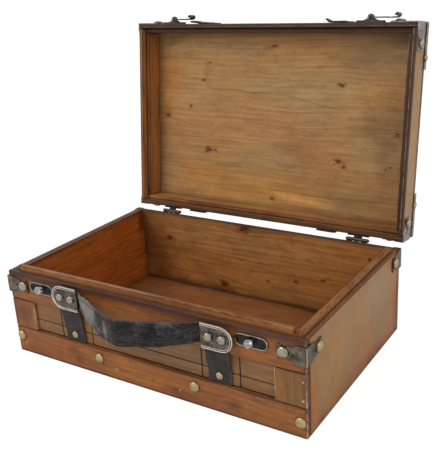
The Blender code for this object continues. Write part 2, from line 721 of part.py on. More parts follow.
def hinge_stop(start, end):
    """The tongue on the lid's knuckle that meets the base's leaf when the lid is open."""
    leaf_gap = HINGE_SETBACK - HINGE_LEAF_THICKNESS - 2 * SEAT_GAP
    half = STOP_THICKNESS / 2
    reach = (leaf_gap - half * math.sin(STOP_ANGLE)) / math.cos(STOP_ANGLE)
    inset = (end - start) * STOP_INSET_SHARE
    stop = block("stop", (start + inset, -reach, -half), (end - inset, -KNUCKLE_BORE_RADIUS, half))
    bpy.context.view_layer.update()
    turn = Matrix.Rotation(LID_OPEN_ANGLE + STOP_ANGLE, 4, "X")
    stop.matrix_world = Matrix.Translation((0, HINGE_AXIS_Y, BASE_HEIGHT)) @ turn @ stop.matrix_world
    return stop


def hinge_pin(name, centre):
    """The pin, with a small head outside each end knuckle."""
    half = HINGE_WIDTH / 2 + SEAT_GAP
    end = half + PIN_HEAD_LENGTH
    profile = [(0, end), (PIN_HEAD_RADIUS, end), (PIN_HEAD_RADIUS, half), (PIN_RADIUS, half)]
    profile += [(radius, -height) for radius, height in profile[::-1]]
    place = (centre, HINGE_AXIS_Y, BASE_HEIGHT)
    return dress(turned(name, profile, ALONG_X, place), steel)


def hinges(axis):
    """Two stop hinges on the back."""
    for side, centre in (("left", -HINGE_OFFSET), ("right", HINGE_OFFSET)):
        hinge_leaf(f"hinge_base_leaf_{side}", centre, True)
        hinge_pin(f"hinge_pin_{side}", centre)
        carry(hinge_leaf(f"hinge_lid_leaf_{side}", centre, False), axis)


def strap_depth(height):
    """How far behind the case's face the strap's inner side lies at this height."""
    share = (STRAP_DIP_START - height) / STRAP_DIP_LENGTH
    share = min(max(share, 0), 1)
    soft = share * share * (3 - 2 * share)
    return soft * FRONT_PANEL_RECESS - SEAT_GAP


def front_strap(name, centre):
    """A strap from under the handle plate, dipping onto the recessed panel."""
    dip_end = STRAP_DIP_START - STRAP_DIP_LENGTH
    heights = [STRAP_DIP_START - STRAP_DIP_LENGTH * step / ARC_STEPS for step in range(ARC_STEPS + 1)]
    heights = [STRAP_TOP] + heights + ([STRAP_BOTTOM] if dip_end > STRAP_BOTTOM else [])
    inner = [(FRONT_FACE + strap_depth(height), height) for height in heights]
    outer = [(depth - STRAP_THICKNESS, height) for depth, height in inner]
    outline = inner + outer[::-1]
    half = STRAP_WIDTH / 2
    return dress(centred(flat(name, outline, -half, half, RIGHT, (centre, 0, 0))), leather)


def front_straps():
    """The two straps and the rivet near the foot of each."""
    for side, centre in STRAP_PLACES.items():
        front_strap(f"strap_{side}", centre)
        depth = FRONT_FACE + strap_depth(STRAP_RIVET_HEIGHT) - STRAP_THICKNESS - SEAT_GAP
        place = (centre, depth, STRAP_RIVET_HEIGHT)
        rivet = nail(f"strap_rivet_{side}", STRAP_RIVET_RADIUS, STRAP_RIVET_DOME, 0, FRONT, place)
        dress(rivet, brass)


def lid_strap(name, centre):
    """A strap round the lid, from its front wall over the panel to its back wall."""
    top = BASE_HEIGHT + LID_HEIGHT
    quarter = math.pi / 2

    def bend(offset, radius):
        front, back = FRONT_FACE - offset + radius, BACK_FACE + offset - radius
        height = top + offset - radius
        corners = arc((front, height), radius, 2 * quarter, quarter, BEND_STEPS)
        return corners + arc((back, height), radius, quarter, 0, BEND_STEPS)

    inner = bend(SEAT_GAP, LID_STRAP_BEND)
    outer = bend(STRAP_OUTER, LID_STRAP_BEND + STRAP_THICKNESS)
    front_end, back_end = BASE_HEIGHT + LID_STRAP_FRONT_END, BASE_HEIGHT + LID_STRAP_BACK_END
    outline = [(FRONT_FACE - SEAT_GAP, front_end)] + inner + [(BACK_FACE + SEAT_GAP, back_end)]
    outline += [(BACK_FACE + STRAP_OUTER, back_end)] + outer[::-1] + [(FRONT_FACE - STRAP_OUTER, front_end)]
    half = LID_STRAP_WIDTH / 2
    return dress(centred(flat(name, outline, -half, half, RIGHT, (centre, 0, 0))), leather)


def handle_band():
    """The leather handle: flat tabs under the plates, and a bowed band that is deeper in its middle."""
    end = HANDLE_PLATE_OFFSET - HANDLE_PLATE_LENGTH / 2 - HANDLE_END_CLEARANCE
    rest = FRONT_FACE - HANDLE_INNER - HANDLE_THICKNESS / 2
    curve = bpy.data.curves.new("handle_band", "CURVE")
    curve.dimensions = "3D"
    curve.extrude = CASE_DEPTH
    spline = curve.splines.new("POLY")
    shares = [2 * step / HANDLE_STEPS - 1 for step in range(HANDLE_STEPS + 1)]
    path = [(-end - HANDLE_TAB, rest)] + [(end * share, rest - bow(share)) for share in shares]
    path += [(end + HANDLE_TAB, rest)]
    spline.points.add(len(path) - 1)
    for point, (x, y) in zip(spline.points, path):
        point.co = (x, y, 0, 1)
    band = settle(new_object("handle_band", curve))
    for vertex in band.data.vertices:
        middle = max(1 - (vertex.co.x / end) ** 2, 0)
        upper = HANDLE_END_TOP + HANDLE_MIDDLE_RISE * middle
        lower = HANDLE_END_BOTTOM - HANDLE_MIDDLE_DROP * middle
        vertex.co.z = upper if vertex.co.z > 0 else lower
    solidify = band.modifiers.new("Leather", "SOLIDIFY")
    solidify.thickness = HANDLE_THICKNESS
    solidify.offset = 0
    return dress(centred(settle(band)), leather)


def bow(share):
    """How far the band stands off at this share of its half span."""
    def curve(value):
        return (value * value + HANDLE_BOW_SOFTNESS**2) ** (HANDLE_BOW_EXPONENT / 2)

    return HANDLE_BOW * (curve(1) - curve(share)) / (curve(1) - curve(0))


def handle_plate(side):
    """A plate with a round outer end, a double raised border and two domed rivets."""
    height, half = HANDLE_PLATE_HEIGHT / 2, HANDLE_PLATE_LENGTH / 2
    quarter = math.pi / 2
    place = (HANDLE_PLATE_OFFSET, FRONT_FACE, HANDLE_PLATE_CENTRES[side])
    top = HANDLE_PLATE_INNER + HANDLE_PLATE_THICKNESS

    def border(inset):
        radius = height - inset
        end = arc((half - height, 0), radius, -quarter, quarter)
        return [(-half, -radius)] + end + [(-half, radius)]

    plate = flat(f"handle_plate_{side}", border(0), HANDLE_PLATE_INNER, top, FRONT, place)
    first = HANDLE_OUTER_RIDGE_RADIUS / 2
    ridges = ((first, HANDLE_OUTER_RIDGE_RADIUS), (first + HANDLE_RIDGE_SPACING, HANDLE_INNER_RIDGE_RADIUS))
    for inset, radius in ridges:
        path = [(x + radius / 2, y, top - radius * RIDGE_SINK_SHARE) for x, y in border(inset)]
        fuse(plate, tube("ridge", path, radius, False, FRONT, place))
    for rivet in range(2):
        across = HANDLE_RIVET_INSET + rivet * HANDLE_RIVET_SPACING - half
        spot = Vector(place) + Vector((across, -top, 0))
        fuse(plate, nail("rivet", HANDLE_RIVET_RADIUS, HANDLE_RIVET_HEIGHT, NAIL_SINK, FRONT, spot))
    centred(mirrored(plate, side == "left", False))
    return dress(plate, steel)


def catch(side, centre):
    """A catch plate with a raised rim and two nail holes, and the mushroom stud on it."""
    place = (centre, FRONT_FACE, CATCH_HEIGHT)
    top = SEAT_GAP + CATCH_THICKNESS
    plate = flat(f"catch_plate_{side}", stadium(CATCH_LENGTH, CATCH_WIDTH), SEAT_GAP, top, FRONT, place)
    inset = CATCH_RIM_RADIUS
    height = top - CATCH_RIM_RADIUS * RIDGE_SINK_SHARE
    rim = [(x, y, height) for x, y in stadium(CATCH_LENGTH - inset, CATCH_WIDTH - inset)]
    fuse(plate, tube("rim", rim, CATCH_RIM_RADIUS, True, FRONT, place))
    for across in (-CATCH_HOLE_PLACE, CATCH_HOLE_PLACE):
        spot = (centre + across, FRONT_FACE, CATCH_HEIGHT)
        cut(plate, cylinder("hole", CATCH_HOLE_RADIUS, 0, top + CUT_OVERRUN, FRONT, spot, DOME_STEPS))
    dress(centred(plate), steel)
    foot, neck_top = top + SEAT_GAP, HOOK_TOP + SEAT_GAP
    shoulder = foot + STUD_FOOT_HEIGHT
    dome = dome_profile(STUD_HEAD_RADIUS, STUD_HEAD_HEIGHT, 0)[:-2]
    profile = [(radius, neck_top + height) for radius, height in dome]
    profile += [(STUD_NECK_RADIUS, neck_top), (STUD_NECK_RADIUS, shoulder)]
    profile += [(STUD_FOOT_RADIUS, shoulder), (STUD_FOOT_RADIUS, foot), (0, foot)]
    return dress(turned(f"catch_stud_{side}", profile, FRONT, place, ROUND_STEPS), bright_steel)


def latch_plate(name, centre):
    """The lid's latch plate with its raised boss, and the rivet that the hook swings on."""
    place = (centre, FRONT_FACE, LATCH_PIVOT_Z)
    top = SEAT_GAP + LATCH_PLATE_THICKNESS
    plate = flat(name, stadium(LATCH_PLATE_LENGTH, LATCH_PLATE_WIDTH), SEAT_GAP, top, FRONT, place)
    buried = top - LATCH_PLATE_THICKNESS / 2
    cone = [(0, LATCH_BOSS_TOP), (LATCH_BOSS_TOP_RADIUS, LATCH_BOSS_TOP), (LATCH_BOSS_RADIUS, top)]
    cone += [(LATCH_BOSS_RADIUS, buried), (0, buried)]
    stretch = FRONT @ Matrix.Diagonal((LATCH_BOSS_STRETCH, 1, 1, 1))
    fuse(plate, turned("boss", cone, stretch, place, ROUND_STEPS))
    head = HOOK_TOP + SEAT_GAP
    dome = dome_profile(LATCH_HEAD_RADIUS, LATCH_HEAD_HEIGHT, 0)[:-2]
    profile = [(radius, head + height) for radius, height in dome]
    profile += [(LATCH_NECK_RADIUS, head), (LATCH_NECK_RADIUS, buried), (0, buried)]
    fuse(plate, turned("rivet", profile, FRONT, place))
    return dress(centred(plate), steel)


def hook_outline():
    """The hook seen from the front: an eye, a narrow arm and a wider jaw."""
    width, jaw = HOOK_ARM_HALF_WIDTH, HOOK_JAW_HALF_WIDTH
    meet = math.asin(width / HOOK_EYE_RADIUS)
    eye = arc((0, 0), HOOK_EYE_RADIUS, meet, 2 * math.pi - meet, 2 * ARC_STEPS)
    start, end = LATCH_REACH - HOOK_JAW_HALF_LENGTH, LATCH_REACH + HOOK_JAW_HALF_LENGTH
    neck = start - jaw
    tongue = HOOK_TONGUE_HALF_WIDTH
    lower = [(neck, -width), (start, -jaw), (end, -jaw), (end, -tongue), (HOOK_CURL_REACH, -tongue)]
    return eye + lower + [(x, -y) for x, y in lower[::-1]]


def latch_hook(name, centre):
    """The swing hook: eye, arm, a slot that takes the stud's neck, and a curled finger end."""
    place = (centre, FRONT_FACE, LATCH_PIVOT_Z)
    hook = flat(name, hook_outline(), HOOK_UNDERSIDE, HOOK_TOP, FRONT, place)
    middle = (HOOK_CURL_REACH, HOOK_UNDERSIDE + HOOK_CURL_RISE + HOOK_CURL_RADIUS)
    start = -math.pi / 2
    outer = arc(middle, HOOK_CURL_RADIUS, start, start + HOOK_CURL_TURN, 2 * ARC_STEPS)
    inner = arc(middle, HOOK_CURL_RADIUS - HOOK_CURL_THICKNESS, start, start + HOOK_CURL_TURN, 2 * ARC_STEPS)
    sideways = Matrix(((1, 0, 0), (0, -1, 0), (0, 0, -1))).to_4x4()
    curl = outer + inner[::-1]
    fuse(hook, flat("curl", curl, -HOOK_CURL_HALF_WIDTH, HOOK_CURL_HALF_WIDTH, sideways, place))
    slot = STUD_NECK_RADIUS + HOOK_SLOT_CLEARANCE
    quarter = math.pi / 2
    mouth = -HOOK_JAW_HALF_WIDTH - CUT_OVERRUN
    shape = arc((LATCH_REACH, 0), slot, 0, 2 * quarter)
    shape += [(LATCH_REACH - slot, mouth), (LATCH_REACH + slot, mouth)]
    cut(hook, flat("slot", shape, 0, HOOK_TOP + CUT_OVERRUN, FRONT, place))
    eye = LATCH_NECK_RADIUS + HOOK_EYE_CLEARANCE
    cut(hook, cylinder("eye", eye, 0, HOOK_TOP + CUT_OVERRUN, FRONT, place))
    return dress(hook, steel)


def latches(lid_axis):
    """On each side a catch on the base, a latch plate on the lid and a hook on its rivet."""
    for side, centre in LATCH_PLACES.items():
        catch(side, centre)
        carry(latch_plate(f"latch_plate_{side}", centre), lid_axis)
        pivot = (centre, FRONT_FACE, LATCH_PIVOT_Z)
        hook_axis = joint_axis(f"hook_axis_{side}", pivot, LATCH_REACH, lid_axis)
        carry(latch_hook(f"latch_hook_{side}", centre), hook_axis)
        hook_axis.rotation_euler.y = HOOK_REST_ANGLES[side]


def rail_nails():
    """Domed nails along the bottom rail. The last one sits lower, as it was driven."""
    last = RAIL_NAIL_PLACES_SHARES[-1]
    for number, share in enumerate(RAIL_NAIL_PLACES_SHARES, 1):
        height = RAIL_NAIL_LAST_HEIGHT if share == last else RAIL_NAIL_HEIGHT
        place = (CASE_WIDTH * share, FRONT_FACE - SEAT_GAP, height)
        dress(nail(f"rail_nail_{number}", NAIL_RADIUS, NAIL_HEIGHT, 0, FRONT, place), brass)


def main():
    floor_panel()
    front_frame()
    front_panel()
    base_walls()
    base_liners()
    lid_axis = joint_axis("lid_hinge_axis", (0, HINGE_AXIS_Y, BASE_HEIGHT), CASE_WIDTH / 2)
    lid_boards(lid_axis)
    corner_pieces("base_bracket_{}_{}", base_bracket, steel)
    corner_pieces("lid_bracket_{}_{}", lid_bracket, steel, lid_axis)
    corner_pieces("lid_cap_{}_{}", lid_cap, steel, lid_axis)
    hinges(lid_axis)
    front_straps()
    for side, centre in LID_STRAP_PLACES.items():
        carry(lid_strap(f"lid_strap_{side}", centre), lid_axis)
    handle_band()
    handle_plate("left")
    handle_plate("right")
    latches(lid_axis)
    rail_nails()
    lid_axis.rotation_euler.x = -LID_OPEN_ANGLE


clear_scene()
parts = bpy.data.collections.new("wooden_suitcase_box")
bpy.context.scene.collection.children.link(parts)
wood_rail = finish("wood_rail", (0.30, 0.13, 0.05), 0.5)
wood_panel = finish("wood_panel", (0.27, 0.17, 0.08), 0.5)
wood_side = finish("wood_side", (0.33, 0.17, 0.07), 0.5)
wood_inside = finish("wood_inside", (0.36, 0.20, 0.09), 0.6)
leather = finish("leather", (0.035, 0.035, 0.04), 0.5)
steel = finish("aged_steel", (0.22, 0.21, 0.19), 0.45, 1.0)
bright_steel = finish("bright_steel", (0.55, 0.53, 0.48), 0.3, 1.0)
brass = finish("antique_brass", (0.50, 0.42, 0.27), 0.35, 1.0)
main()
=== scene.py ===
"""Dresses the wooden suitcase-style box: stained boards, leather, aged metal, nails, stitches and brads."""

import json
import math

import bmesh
import bpy
from mathutils import Matrix, Vector


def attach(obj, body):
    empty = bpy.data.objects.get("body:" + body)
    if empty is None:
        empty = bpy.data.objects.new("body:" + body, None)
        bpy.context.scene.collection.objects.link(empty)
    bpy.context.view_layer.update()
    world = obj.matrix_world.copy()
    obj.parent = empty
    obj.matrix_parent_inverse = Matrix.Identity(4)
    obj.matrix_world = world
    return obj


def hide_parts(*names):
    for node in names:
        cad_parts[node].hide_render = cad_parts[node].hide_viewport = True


bl_info = {
    "name": "Wooden Suitcase Box",
    "version": (1, 0, 0),
    "blender": (4, 5, 0),
    "location": "View3D > Sidebar > Suitcase Box",
    "description": "Dresses a wooden suitcase-style box with stained wood, leather and aged metal",
    "category": "Object",
}

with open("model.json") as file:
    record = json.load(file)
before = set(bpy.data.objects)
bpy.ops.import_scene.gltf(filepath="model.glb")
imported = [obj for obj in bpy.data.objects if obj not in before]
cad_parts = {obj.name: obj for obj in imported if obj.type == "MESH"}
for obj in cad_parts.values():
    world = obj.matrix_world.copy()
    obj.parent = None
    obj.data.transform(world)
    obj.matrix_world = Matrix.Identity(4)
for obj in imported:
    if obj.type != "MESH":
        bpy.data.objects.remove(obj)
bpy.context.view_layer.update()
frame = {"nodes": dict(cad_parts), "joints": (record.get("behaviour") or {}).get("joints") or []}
CAD = frame["nodes"]
HINGE = Vector(frame["joints"][0]["pos_m"])
OPEN_ANGLE = math.radians(97.3)
OPEN = Matrix.Translation(HINGE) @ Matrix.Rotation(-OPEN_ANGLE, 4, "X") @ Matrix.Translation(-HINGE)
LID_TURN = OPEN.to_3x3()
TO_LEFT, TO_RIGHT, TO_FRONT, TO_BACK = (Vector(way) for way in ((-1, 0, 0), (1, 0, 0), (0, -1, 0), (0, 1, 0)))
UP = Vector((0, 0, 1))

# The case, closed
SIDE, FRONT, BACK = 0.190, -0.122, 0.122
RIM, LID_TOP = 0.104, 0.1405
CASE_LOW, CASE_HIGH = (-SIDE, FRONT, 0.0), (SIDE, BACK, RIM)
LID_LOW, LID_HIGH = (-SIDE, FRONT, RIM), (SIDE, BACK, LID_TOP)
INSIDE_LOW, INSIDE_HIGH = (-0.184, -0.116, 0.004), (0.184, 0.116, 0.1098)
LID_INSIDE_LOW, LID_INSIDE_HIGH = (-0.1845, -0.1165, 0.1118), (0.1845, 0.1165, 0.1348)

# The box round the corner plates, open below, and where the faces seen inside the case stand
PLATES_LOW, PLATES_HIGH = (-0.1916, -0.1236, -1), (0.1916, 0.1236, 0.1417)
LEFT_LINER_FACE, BACK_WALL_FACE, BACK_LINER_FACE, PANEL_FACE = -0.1787, 0.116, 0.1165, 0.1348

# Radii of the heads of nails, rivets and brads
NAIL, CAP_NAIL, HANDLE_RIVET, STRAP_RIVET, BRAD = 0.0062, 0.0045, 0.0048, 0.0044, 0.0010

# Leather: the middles of the straps, left and right, and how far leather keeps off what it lies on
FRONT_STRAPS, LID_STRAPS = (-0.0960, 0.0945), (-0.0955, 0.0935)
FRONT_STRAP_HALF_WIDTH, LID_STRAP_HALF_WIDTH = 0.01375, 0.01275
CLEARANCE = 0.0003

# The handle: half its length, where its band leaves the tabs, and how far it bows out. Then, along Y,
# the middle of the tabs' thickness and the faces of the plates over them
HANDLE_REACH, HANDLE_BEND, HANDLE_BOW = 0.1054, 0.0784, 0.035
HANDLE_TAB_MIDDLE, HANDLE_PLATE_FACE = -0.1258, -0.1293

# The camera: focal length and frame height in pixels, and sensor in millimetres. Then its place, and its
# yaw, pitch and roll in degrees
FOCAL, FRAME_HEIGHT, SENSOR = 732.75, 449, 36
CAMERA_PLACE, CAMERA_TURN = (0.448, -0.6395, 0.4247), (33.43, 19.726, -3.4713)


def linear(red, green, blue):
    """A colour given as it shows on a screen, 0 to 255, as the light values that shaders take."""
    return tuple(
        value / 12.92 if value <= 0.04045 else ((value + 0.055) / 1.055) ** 2.4
        for value in (red / 255, green / 255, blue / 255)
    ) + (1.0,)


# Each wood's light grain, deep grain and edge stain
WOODS = {
    "rail": ((159, 99, 46), (117, 67, 27), (61, 38, 33)),
    "stile": ((140, 99, 55), (107, 74, 39), (80, 48, 28)),
    "panel": ((146, 107, 67), (113, 80, 49), (63, 41, 28)),
    "side": ((161, 120, 73), (128, 89, 50), (98, 52, 32)),
    "lip": ((166, 108, 60), (126, 76, 40), (70, 40, 26)),
    "inside_side": ((170, 92, 30), (132, 62, 18), (72, 36, 14)),
    "inside_back": ((190, 134, 76), (140, 95, 52), (84, 52, 30)),
    "floor": ((150, 98, 56), (118, 70, 36), (72, 42, 24)),
    "lid_inside": ((179, 140, 88), (141, 103, 63), (103, 67, 39)),
    "lid_liner": ((168, 108, 56), (128, 78, 40), (58, 36, 28)),
    "liner_left": ((168, 108, 54), (124, 76, 36), (56, 35, 24)),
    "liner_back": ((188, 128, 72), (146, 96, 52), (74, 46, 28)),
    "lid_front": ((140, 84, 40), (98, 56, 26), (52, 34, 28)),
    "lid_side": ((166, 130, 90), (134, 102, 68), (59, 37, 29)),
    "rim": ((98, 66, 46), (64, 44, 33), (44, 31, 25)),
}
WHITE = (1, 1, 1, 1)
KNOT_COLOUR = linear(84, 44, 22)
WEAR_AND_HIGHLIGHT_COLOUR = linear(196, 152, 104)
GROOVE_COLOUR = linear(20, 13, 9)
VEIN_COLOUR = linear(104, 58, 32)

# How far a knot reaches, in its sizes, and how ragged knots and patches are
KNOT_REACH, KNOT_RAGGED, PATCH_RAGGED = (2.1, 1.4, 1.4), 2.2, 1.6


class Nodes:
    """Adds nodes to one tree, each with its inputs set or linked."""

    def __init__(self, tree):
        self.tree = tree

    def add(self, kind, inputs=None, **settings):
        node = self.tree.nodes.new(kind)
        for name, value in settings.items():
            setattr(node, name, value)
        for key, value in (inputs or {}).items():
            if isinstance(value, bpy.types.NodeSocket):
                self.tree.links.new(value, node.inputs[key])
            else:
                node.inputs[key].default_value = value
        return node

    def math(self, operation, *values):
        return self.add("ShaderNodeMath", dict(enumerate(values)), operation=operation).outputs[0]

    def vector(self, operation, *values):
        return self.add("ShaderNodeVectorMath", dict(enumerate(values)), operation=operation).outputs[0]

    def length(self, value):
        return self.add("ShaderNodeVectorMath", {0: value}, operation="LENGTH").outputs["Value"]

    def split(self, value):
        return self.add("ShaderNodeSeparateXYZ", {0: value}).outputs

    def join(self, x, y, z):
        return self.add("ShaderNodeCombineXYZ", {0: x, 1: y, 2: z}).outputs[0]

    def step(self, value, low, high, start=0.0, end=1.0):
        """The value's way from low to high, eased, as a number from start to end."""
        inputs = {0: value, 1: low, 2: high, 3: start, 4: end}
        return self.add("ShaderNodeMapRange", inputs, interpolation_type="SMOOTHSTEP").outputs[0]

    def total(self, *parts):
        """The sum of values, each times its weight."""
        result = self.math("MULTIPLY", *parts[0])
        for value, weight in parts[1:]:
            result = self.math("MULTIPLY_ADD", value, weight, result)
        return result

    def shift(self, value, amount, base=0.0):
        """The base, moved by how far a noise is from its middle, times the amount."""
        return self.math("MULTIPLY_ADD", self.math("SUBTRACT", value, 0.5), amount, base)

    def most(self, values, start=0.0):
        """The largest of the start and the values."""
        for value in values:
            start = self.math("MAXIMUM", start, value)
        return start

    def noise(self, place, scale, detail=3.0, roughness=0.55, distortion=0.0):
        """Noise with its own scale along each axis."""
        stretched = self.vector("MULTIPLY", place, scale)
        inputs = {"Vector": stretched, "Scale": 1.0, "Detail": detail, "Roughness": roughness}
        return self.add("ShaderNodeTexNoise", inputs | {"Distortion": distortion}).outputs["Fac"]

    def mix(self, share, first, second, blend="MIX"):
        inputs = {0: share, 6: first, 7: second}
        return self.add("ShaderNodeMix", inputs, data_type="RGBA", blend_type=blend).outputs[2]

    def tinted(self, colour, mask, tint):
        """The colour, multiplied by a tint where the mask is 1."""
        return self.mix(1.0, colour, self.mix(mask, WHITE, tint + (1,)), "MULTIPLY")

    def stored(self, name):
        """A number kept with the mesh."""
        return self.add("ShaderNodeAttribute", attribute_name=name).outputs["Fac"]

    def group(self, tree, inputs):
        return self.add("ShaderNodeGroup", inputs, node_tree=tree).outputs


def new_group(name, inputs, outputs):
    """A shader group with these named sockets: its tree, its nodes, what it is given, and what it returns."""
    tree = bpy.data.node_groups.new(name, "ShaderNodeTree")
    for direction, sockets in (("INPUT", inputs), ("OUTPUT", outputs)):
        for socket, kind in sockets.items():
            tree.interface.new_socket(socket, in_out=direction, socket_type="NodeSocket" + kind)
    nodes = Nodes(tree)
    return tree, nodes, nodes.add("NodeGroupInput").outputs, nodes.add("NodeGroupOutput").inputs


def edge_group():
    """Distance along the surface of a box to its nearest edge: the middle one of three distances."""
    sockets = {"Place": "Vector", "Low": "Vector", "High": "Vector"}
    tree, nodes, given, result = new_group("Edge distance", sockets, {"Distance": "Float"})
    below = nodes.vector("SUBTRACT", given["Place"], given["Low"])
    above = nodes.vector("SUBTRACT", given["High"], given["Place"])
    x, y, z = nodes.split(nodes.vector("ABSOLUTE", nodes.vector("MINIMUM", below, above)))
    least, most = nodes.math("MINIMUM", x, y), nodes.math("MAXIMUM", x, y)
    tree.links.new(nodes.math("MAXIMUM", least, nodes.math("MINIMUM", most, z)), result[0])
    return tree


def spot_group():
    """How near a place is to a spot on a board: 1 at its middle, 0 from its ragged rim on."""
    sockets = {"Place": "Vector", "Centre": "Vector", "Reach": "Vector", "Ragged": "Float"}
    tree, nodes, given, result = new_group("Spot", sockets, {"Mask": "Float"})
    away = nodes.vector("SUBTRACT", given["Place"], given["Centre"])
    share = nodes.vector("DIVIDE", away, given["Reach"])
    shifted = nodes.vector("ADD", share, nodes.vector("MULTIPLY", given["Centre"], (97, 97, 97)))
    ragged = nodes.noise(shifted, (1.3, 1.5, 1.5), 4.0, 0.62)
    far = nodes.shift(ragged, given["Ragged"], nodes.length(share))
    tree.links.new(nodes.step(far, 0.1, 1.0, 1.0, 0.0), result[0])
    return tree


def vein_group():
    """A thin dark line of grain between two places on a board's long and short axes."""
    sockets = dict.fromkeys(("Along", "Across", "Start", "End", "From", "To", "Half"), "Float")
    tree, nodes, given, result = new_group("Vein", sockets, {"Mask": "Float"})
    inputs = {0: given["Along"], 1: given["Start"], 2: given["End"]}
    share = nodes.add("ShaderNodeMapRange", inputs).outputs[0]
    inputs = {0: share, 1: 0.0, 2: 1.0, 3: given["From"], 4: given["To"]}
    line = nodes.add("ShaderNodeMapRange", inputs).outputs[0]
    sway = nodes.noise(nodes.join(given["Along"], 0.0, given["From"]), (22, 1, 50), 1.0)
    away = nodes.math("ABSOLUTE", nodes.math("SUBTRACT", given["Across"], nodes.shift(sway, 0.007, line)))
    near = nodes.step(nodes.math("DIVIDE", away, given["Half"]), 0.1, 1.2, 1.0, 0.0)
    ends = nodes.math("MULTIPLY", nodes.step(share, 0.0, 0.12), nodes.step(share, 0.75, 1.0, 1.0, 0.0))
    tree.links.new(nodes.math("MULTIPLY", near, ends), result[0])
    return tree


def wood_group():
    """Stained wood on coordinates whose X runs along the grain: mottles, streaks, flecks, dark edges, and edges
    lightened by wearing and by a painted highlight.
    """
    measures = ("Contrast", "Hue", "Streaks", "Edge", "Edge width", "Warm width", "Seam", "Band", "Knots", "Wear and highlight")
    sockets = {"Place": "Vector", "Light": "Color", "Deep": "Color", "Stain": "Color"}
    sockets |= dict.fromkeys(measures, "Float")
    results = {"Colour": "Color", "Roughness": "Float", "Height": "Float"}
    tree, nodes, given, result = new_group("Stained wood", sockets, results)
    light, deep, stain, knots = given["Light"], given["Deep"], given["Stain"], given["Knots"]

    sway = nodes.noise(given["Place"], (6, 16, 16), 2.0)
    sway = nodes.shift(sway, 0.016, nodes.math("MULTIPLY", knots, 0.004))
    place = nodes.vector("ADD", given["Place"], nodes.join(0.0, sway, 0.0))
    cloud = nodes.noise(place, (7, 17, 17), 3.0, 0.5)
    shade = nodes.noise(place, (13, 21, 21), 3.0, 0.5)
    mottle = nodes.noise(place, (26, 85, 85), 6.0, 0.70)
    streak = nodes.noise(place, (11, 300, 300), 4.0, 0.62)
    fibre = nodes.noise(place, (80, 1900, 1900), 2.0, 0.6)
    smudge = nodes.noise(place, (70, 105, 105), 5.0, 0.66)
    fleck = nodes.noise(place, (120, 760, 760), 2.0, 0.5)
    pore = nodes.noise(place, (260, 3200, 3200), 1.0, 0.5)
    bent = nodes.vector("MULTIPLY", place, (4, 46, 46))
    rings = {"Vector": bent, "Scale": 1.0, "Distortion": 6.0, "Detail": 3.0, "Detail Scale": 1.2}
    ring = nodes.add("ShaderNodeTexWave", rings, bands_direction="Y", wave_profile="SAW").outputs["Fac"]

    def marks(noise, low, high, strength):
        """Where a noise is high, as far as the wood is streaked."""
        return nodes.math("MULTIPLY", nodes.step(noise, low, high, 0.0, strength), given["Streaks"])

    def near_edge(width, wavy):
        """1 at the box's edges, 0 from a wavy line this far in."""
        far = nodes.math("ADD", nodes.math("DIVIDE", given["Edge"], given[width]), wavy)
        return nodes.step(far, 0.1, 1.1, 1.0, 0.0)

    tone = nodes.total((mottle, 0.36), (streak, 0.30), (ring, 0.06), (fibre, 0.18), (shade, 0.10))
    tone = nodes.step(nodes.shift(tone, given["Contrast"], 0.5), 0.0, 1.0)
    colour = nodes.mix(tone, deep, light)
    hue = nodes.mix(nodes.step(cloud, 0.36, 0.64), (0.94, 1.00, 1.06, 1), (1.06, 0.95, 0.80, 1))
    colour = nodes.mix(given["Hue"], colour, hue, "MULTIPLY")
    colour = nodes.mix(marks(streak, 0.60, 0.74, 0.40), colour, deep)
    dirty = nodes.math("MAXIMUM", marks(smudge, 0.56, 0.70, 0.42), marks(fleck, 0.64, 0.74, 0.55))
    colour = nodes.mix(dirty, colour, stain)
    colour = nodes.mix(nodes.step(pore, 0.60, 0.70, 0.0, 0.25), colour, stain)

    wavy = nodes.shift(mottle, 0.9, nodes.shift(shade, 1.6))
    colour = nodes.tinted(colour, near_edge("Warm width", wavy), (1.02, 0.80, 0.60))
    band = nodes.math("MULTIPLY", given["Band"], nodes.step(shade, 0.25, 0.5, 0.7, 1.0))
    dark = nodes.math("MAXIMUM", nodes.math("MULTIPLY", near_edge("Edge width", wavy), 0.85), band)
    dark = nodes.math("MULTIPLY", dark, 0.92)
    colour = nodes.mix(dark, colour, nodes.mix(nodes.math("MULTIPLY", tone, 0.35), stain, deep))
    seam = nodes.step(nodes.shift(shade, 0.004, given["Seam"]), 0.0002, 0.0017, 0.80, 0.0)
    colour = nodes.mix(seam, colour, nodes.mix(0.5, stain, GROOVE_COLOUR))

    colour = nodes.tinted(colour, nodes.step(knots, 0.02, 0.6), (0.82, 0.64, 0.54))
    colour = nodes.mix(nodes.step(knots, 0.66, 0.98, 0.0, 0.92), colour, KNOT_COLOUR)
    # Light edges and lines: wearing, and on some edges, such as the lip's, a painted highlight
    patchy = nodes.step(nodes.noise(place, (110, 240, 240), 3.0), 0.34, 0.62, 0.15, 1.0)
    colour = nodes.mix(nodes.math("MULTIPLY", given["Wear and highlight"], patchy), colour, WEAR_AND_HIGHLIGHT_COLOUR)

    rough = nodes.step(nodes.total((streak, 0.5), (mottle, 0.5)), 0.3, 0.7, 0.38, 0.58)
    pits = nodes.step(pore, 0.60, 0.70)
    height = nodes.total((streak, 0.45), (fibre, 0.45), (smudge, 0.35), (pits, -0.6))
    for value, socket in ((colour, "Colour"), (rough, "Roughness"), (height, "Height")):
        tree.links.new(value, result[socket])
    return tree


def new_material(name):
    """An empty material: its nodes and the shader."""
    material = bpy.data.materials.new(name)
    material.use_nodes = True
    nodes = Nodes(material.node_tree)
    material.node_tree.nodes.clear()
    shader = nodes.add("ShaderNodeBsdfPrincipled")
    nodes.add("ShaderNodeOutputMaterial", {0: shader.outputs[0]})
    return material, nodes, shader


